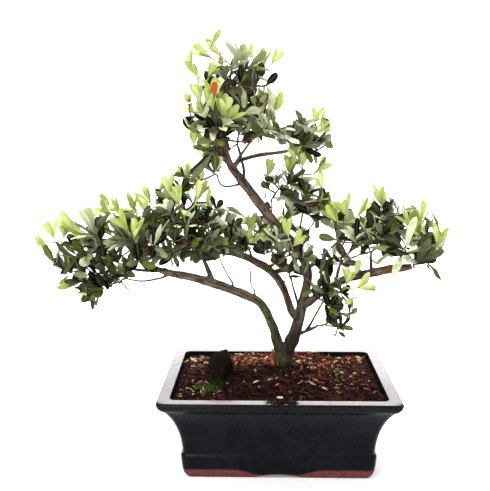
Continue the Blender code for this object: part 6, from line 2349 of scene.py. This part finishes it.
def dress_soil_top(soil):
    tree = scatter_tree()
    crumbs = new_collection("crumb")
    for k in range(5):
        lump_pattern("crumb_%d" % k, crumbs, 1.0 + 0.25 * k, 20 + k)
    chips = new_collection("chip")
    for k in range(4):
        lump_pattern("chip_%d" % k, chips, 2.4 + 0.5 * k, 40 + k, 5)
    shavings = new_collection("shaving")
    for k, (turn, rise) in enumerate(((4.0, 0.5), (2.6, 0.3), (1.4, 0.5), (5.0, 0.2), (0.8, 0.2))):
        shaving_pattern("shaving_%d" % k, shavings, turn, rise, 60 + k)
    fibres = new_collection("fibre")
    for k, bend in enumerate((0.10, 0.18, 0.26, 0.06)):
        fibre_pattern("fibre_%d" % k, fibres, bend, 80 + k)
    tufts = new_collection("tuft")
    for k in range(3):
        moss_pattern("tuft_%d" % k, tufts, 90 + k)
    dark = litter_finish("soil_crumbs", (0.0022, 0.0009, 0.0008), (0.014, 0.0048, 0.0038))
    bark = litter_finish("bark_chips", (0.009, 0.0026, 0.0026), (0.122, 0.028, 0.024))
    pale = litter_finish("pale_shavings", (0.380, 0.170, 0.060), (0.860, 0.700, 0.360), 0.7)
    straw = litter_finish("soil_fibres", (0.010, 0.004, 0.003), (0.210, 0.066, 0.040), 0.8)
    orange = litter_finish("orange_flakes", (0.300, 0.040, 0.024), (0.640, 0.270, 0.150), 0.75)
    white = litter_finish("perlite_grains", (0.260, 0.190, 0.165), (0.520, 0.450, 0.400), 0.9)
    moss = litter_finish("soil_moss", (0.006, 0.014, 0.004), (0.095, 0.135, 0.028), 0.9)
    for name, patterns, finish, patches, base, *amounts in (
        ("soil_crumbs", crumbs, dark, (), 1.0, 60000, 0.0016, 0.0060, 1.2, 0.0003, 3),
        ("red_bark_crumbs", crumbs, bark, RED_PATCHES, 0.35, 20000, 0.0016, 0.0044, 1.2, 0.0002, 4),
        ("bark_chips", chips, bark, RED_PATCHES, 0.45, 15000, 0.005, 0.0145, 0.6, 0.0, 5),
        ("orange_flakes", chips, orange, ORANGE_PATCHES, 0.02, 12000, 0.003, 0.0095, 0.6, -0.0008, 10),
        ("pale_shavings", shavings, pale, PALE_PATCHES, 0.07, 5000, 0.005, 0.0130, 0.6, -0.0006, 6),
        ("soil_fibres", fibres, straw, RED_PATCHES, 0.8, 20000, 0.006, 0.017, 0.4, -0.0008, 7),
        ("perlite_grains", crumbs, white, PALE_PATCHES, 0.3, 2500, 0.0014, 0.0032, 1.5, -0.0006, 8),
        ("soil_moss", tufts, moss, MOSS_PATCHES, 0.006, 45000, 0.0018, 0.0046, 0.6, -0.0012, 9),
    ):
        strew(soil, tree, name, patterns, finish, patches, base, amounts)
    lay_open_shavings(soil, shavings, pale)
    pile_at_trunk(chips, orange)
    spill_over_rim(crumbs, dark, "crumbs_on_rim", 105, (1.4, 3.8), 24)
    spill_over_rim(chips, bark, "chips_on_rim", 14, (2.6, 6.0), 25)
    for group in (crumbs, chips, shavings, fibres, tufts):
        drop_patterns(group)


def drop_patterns(group):
    for item in list(group.objects):
        bpy.data.objects.remove(item, do_unlink=True)
    bpy.data.collections.remove(group)


# Studio

FLOOR_FRONT = -3.0
FLOOR_BACK = 3.2
FLOOR_HALF_WIDTH = 6.0
BACKDROP_BEND = 1.6
BACKDROP_TOP = 6.0
BEND_STEPS = 12
SENSOR_WIDTH_MM = 36.0


def build_floor():
    """A pale floor that curves up into a backdrop far behind."""
    rows = [(FLOOR_FRONT, 0.0), (FLOOR_BACK, 0.0)]
    for k in range(1, BEND_STEPS + 1):
        angle = math.radians(90 * k / BEND_STEPS)
        rows.append((FLOOR_BACK + BACKDROP_BEND * math.sin(angle), BACKDROP_BEND * (1 - math.cos(angle))))
    rows.append((FLOOR_BACK + BACKDROP_BEND, BACKDROP_TOP))
    verts = []
    faces = []
    for y, z in rows:
        verts += [(-FLOOR_HALF_WIDTH, y, z), (FLOOR_HALF_WIDTH, y, z)]
    for k in range(len(rows) - 1):
        faces.append((k * 2, k * 2 + 1, k * 2 + 3, k * 2 + 2))
    floor = make_object("floor", verts, faces)
    shade(floor)
    mat, tree, shader = new_finish("floor", Specular_IOR_Level=0.1, Emission_Strength=0.16)
    cloudy = speckle(tree, object_place(tree), 3.0, 2.0)
    finish_with(tree, shader, blend(tree, cloudy, (0.93, 0.93, 0.93), (0.96, 0.96, 0.96)), 0.9)
    set_finish(floor, mat)


def area_light(name, place, aim, size, power):
    lamp = bpy.data.lights.new(name, "AREA")
    lamp.size = size
    lamp.energy = power
    holder = bpy.data.objects.new(name, lamp)
    holder.location = place
    holder.rotation_mode = "QUATERNION"
    holder.rotation_quaternion = (Vector(aim) - Vector(place)).to_track_quat("-Z", "Y")
    bpy.context.scene.collection.objects.link(holder)


def build_light():
    world = bpy.data.worlds.new("studio")
    world.use_nodes = True
    background = world.node_tree.nodes["Background"].inputs
    background["Color"].default_value = (1.0, 1.0, 1.0, 1.0)
    background["Strength"].default_value = 0.62
    bpy.context.scene.world = world
    area_light("key", place=(-0.8, -1.1, 1.9), aim=(0.0, 0.0, 0.2), size=0.9, power=34.0)
    area_light("fill", place=(1.4, -1.2, 0.9), aim=(0.0, 0.0, 0.2), size=1.4, power=6.0)
    area_light("top", place=(0.1, 0.4, 2.0), aim=(0.0, 0.1, 0.2), size=1.0, power=22.0)
    area_light("backdrop", place=(0.0, 1.6, 3.2), aim=(0.0, 3.6, 0.9), size=3.0, power=330.0)


def build_camera():
    rolled_right, rolled_up, ahead = view_axes()
    lens = bpy.data.cameras.new("camera")
    lens.sensor_width = SENSOR_WIDTH_MM
    lens.lens = FOCAL_PIXELS * SENSOR_WIDTH_MM / IMAGE_HEIGHT
    lens.clip_start = 0.01
    lens.clip_end = 60.0
    camera = bpy.data.objects.new("camera", lens)
    turn = Matrix((rolled_right, rolled_up, -ahead)).transposed().to_4x4()
    camera.matrix_world = Matrix.Translation(Vector(CAMERA_PLACE) + Vector(ORIGIN_SHIFT)) @ turn
    bpy.context.scene.collection.objects.link(camera)
    bpy.context.scene.camera = camera


def dress_tree():
    lines, sprays, shoots = grow_full_tree()
    build_wood(lines, bark_finish())
    old = leaf_finish(
        "mature_leaves", dark=(0.004, 0.007, 0.003), light=(0.670, 0.700, 0.470), warm=(0.140, 0.175, 0.025),
        under=(0.175, 0.210, 0.080), rib=(0.300, 0.330, 0.150), roughness=0.32, painted_sheen_share=0.4, bronze=0.55)
    young = leaf_finish(
        "young_leaves", dark=(0.380, 0.470, 0.100), light=(0.580, 0.650, 0.230), warm=(0.640, 0.680, 0.290),
        under=(0.520, 0.600, 0.230), rib=(0.730, 0.780, 0.400), roughness=0.42, painted_sheen_share=0.15, bronze=0.0)
    twig = twig_finish(
        "twig_bark", dark=(0.060, 0.034, 0.026), light=(0.190, 0.110, 0.084), green=(0.110, 0.120, 0.050))
    stem = twig_finish(
        "young_stems", dark=(0.300, 0.300, 0.090), light=(0.460, 0.500, 0.160), green=(0.420, 0.560, 0.140))
    tree = leafy_branchlet_tree()
    old_patterns = make_patterns("old_leaf", OLD_PATTERNS)
    young_patterns = make_patterns("young_leaf", YOUNG_PATTERNS)
    rng = random.Random(LEAF_SEED + 2)
    for plant in sprays:
        dress_branchlet(plant, tree, old_patterns, old, twig, "mature_leaves", rng)
    for plant in shoots:
        dress_branchlet(plant, tree, young_patterns, young, stem, "young_leaves", rng)
    for patterns in (old_patterns, young_patterns):
        drop_patterns(patterns)


def dress_pot():
    build_pot(pot_finish())
    soil = build_soil(soil_finish())
    dress_soil_top(soil)
    place_piece(soil, "soil", "soil")
    build_stone(stone_finish())
    net = mesh_finish()
    for name in ("drainage_mesh_left", "drainage_mesh_right"):
        set_finish(frame["nodes"][name], net)


dress_tree()
dress_pot()
build_floor()
build_light()
build_camera()
bpy.context.scene.view_settings.view_transform = "Standard"
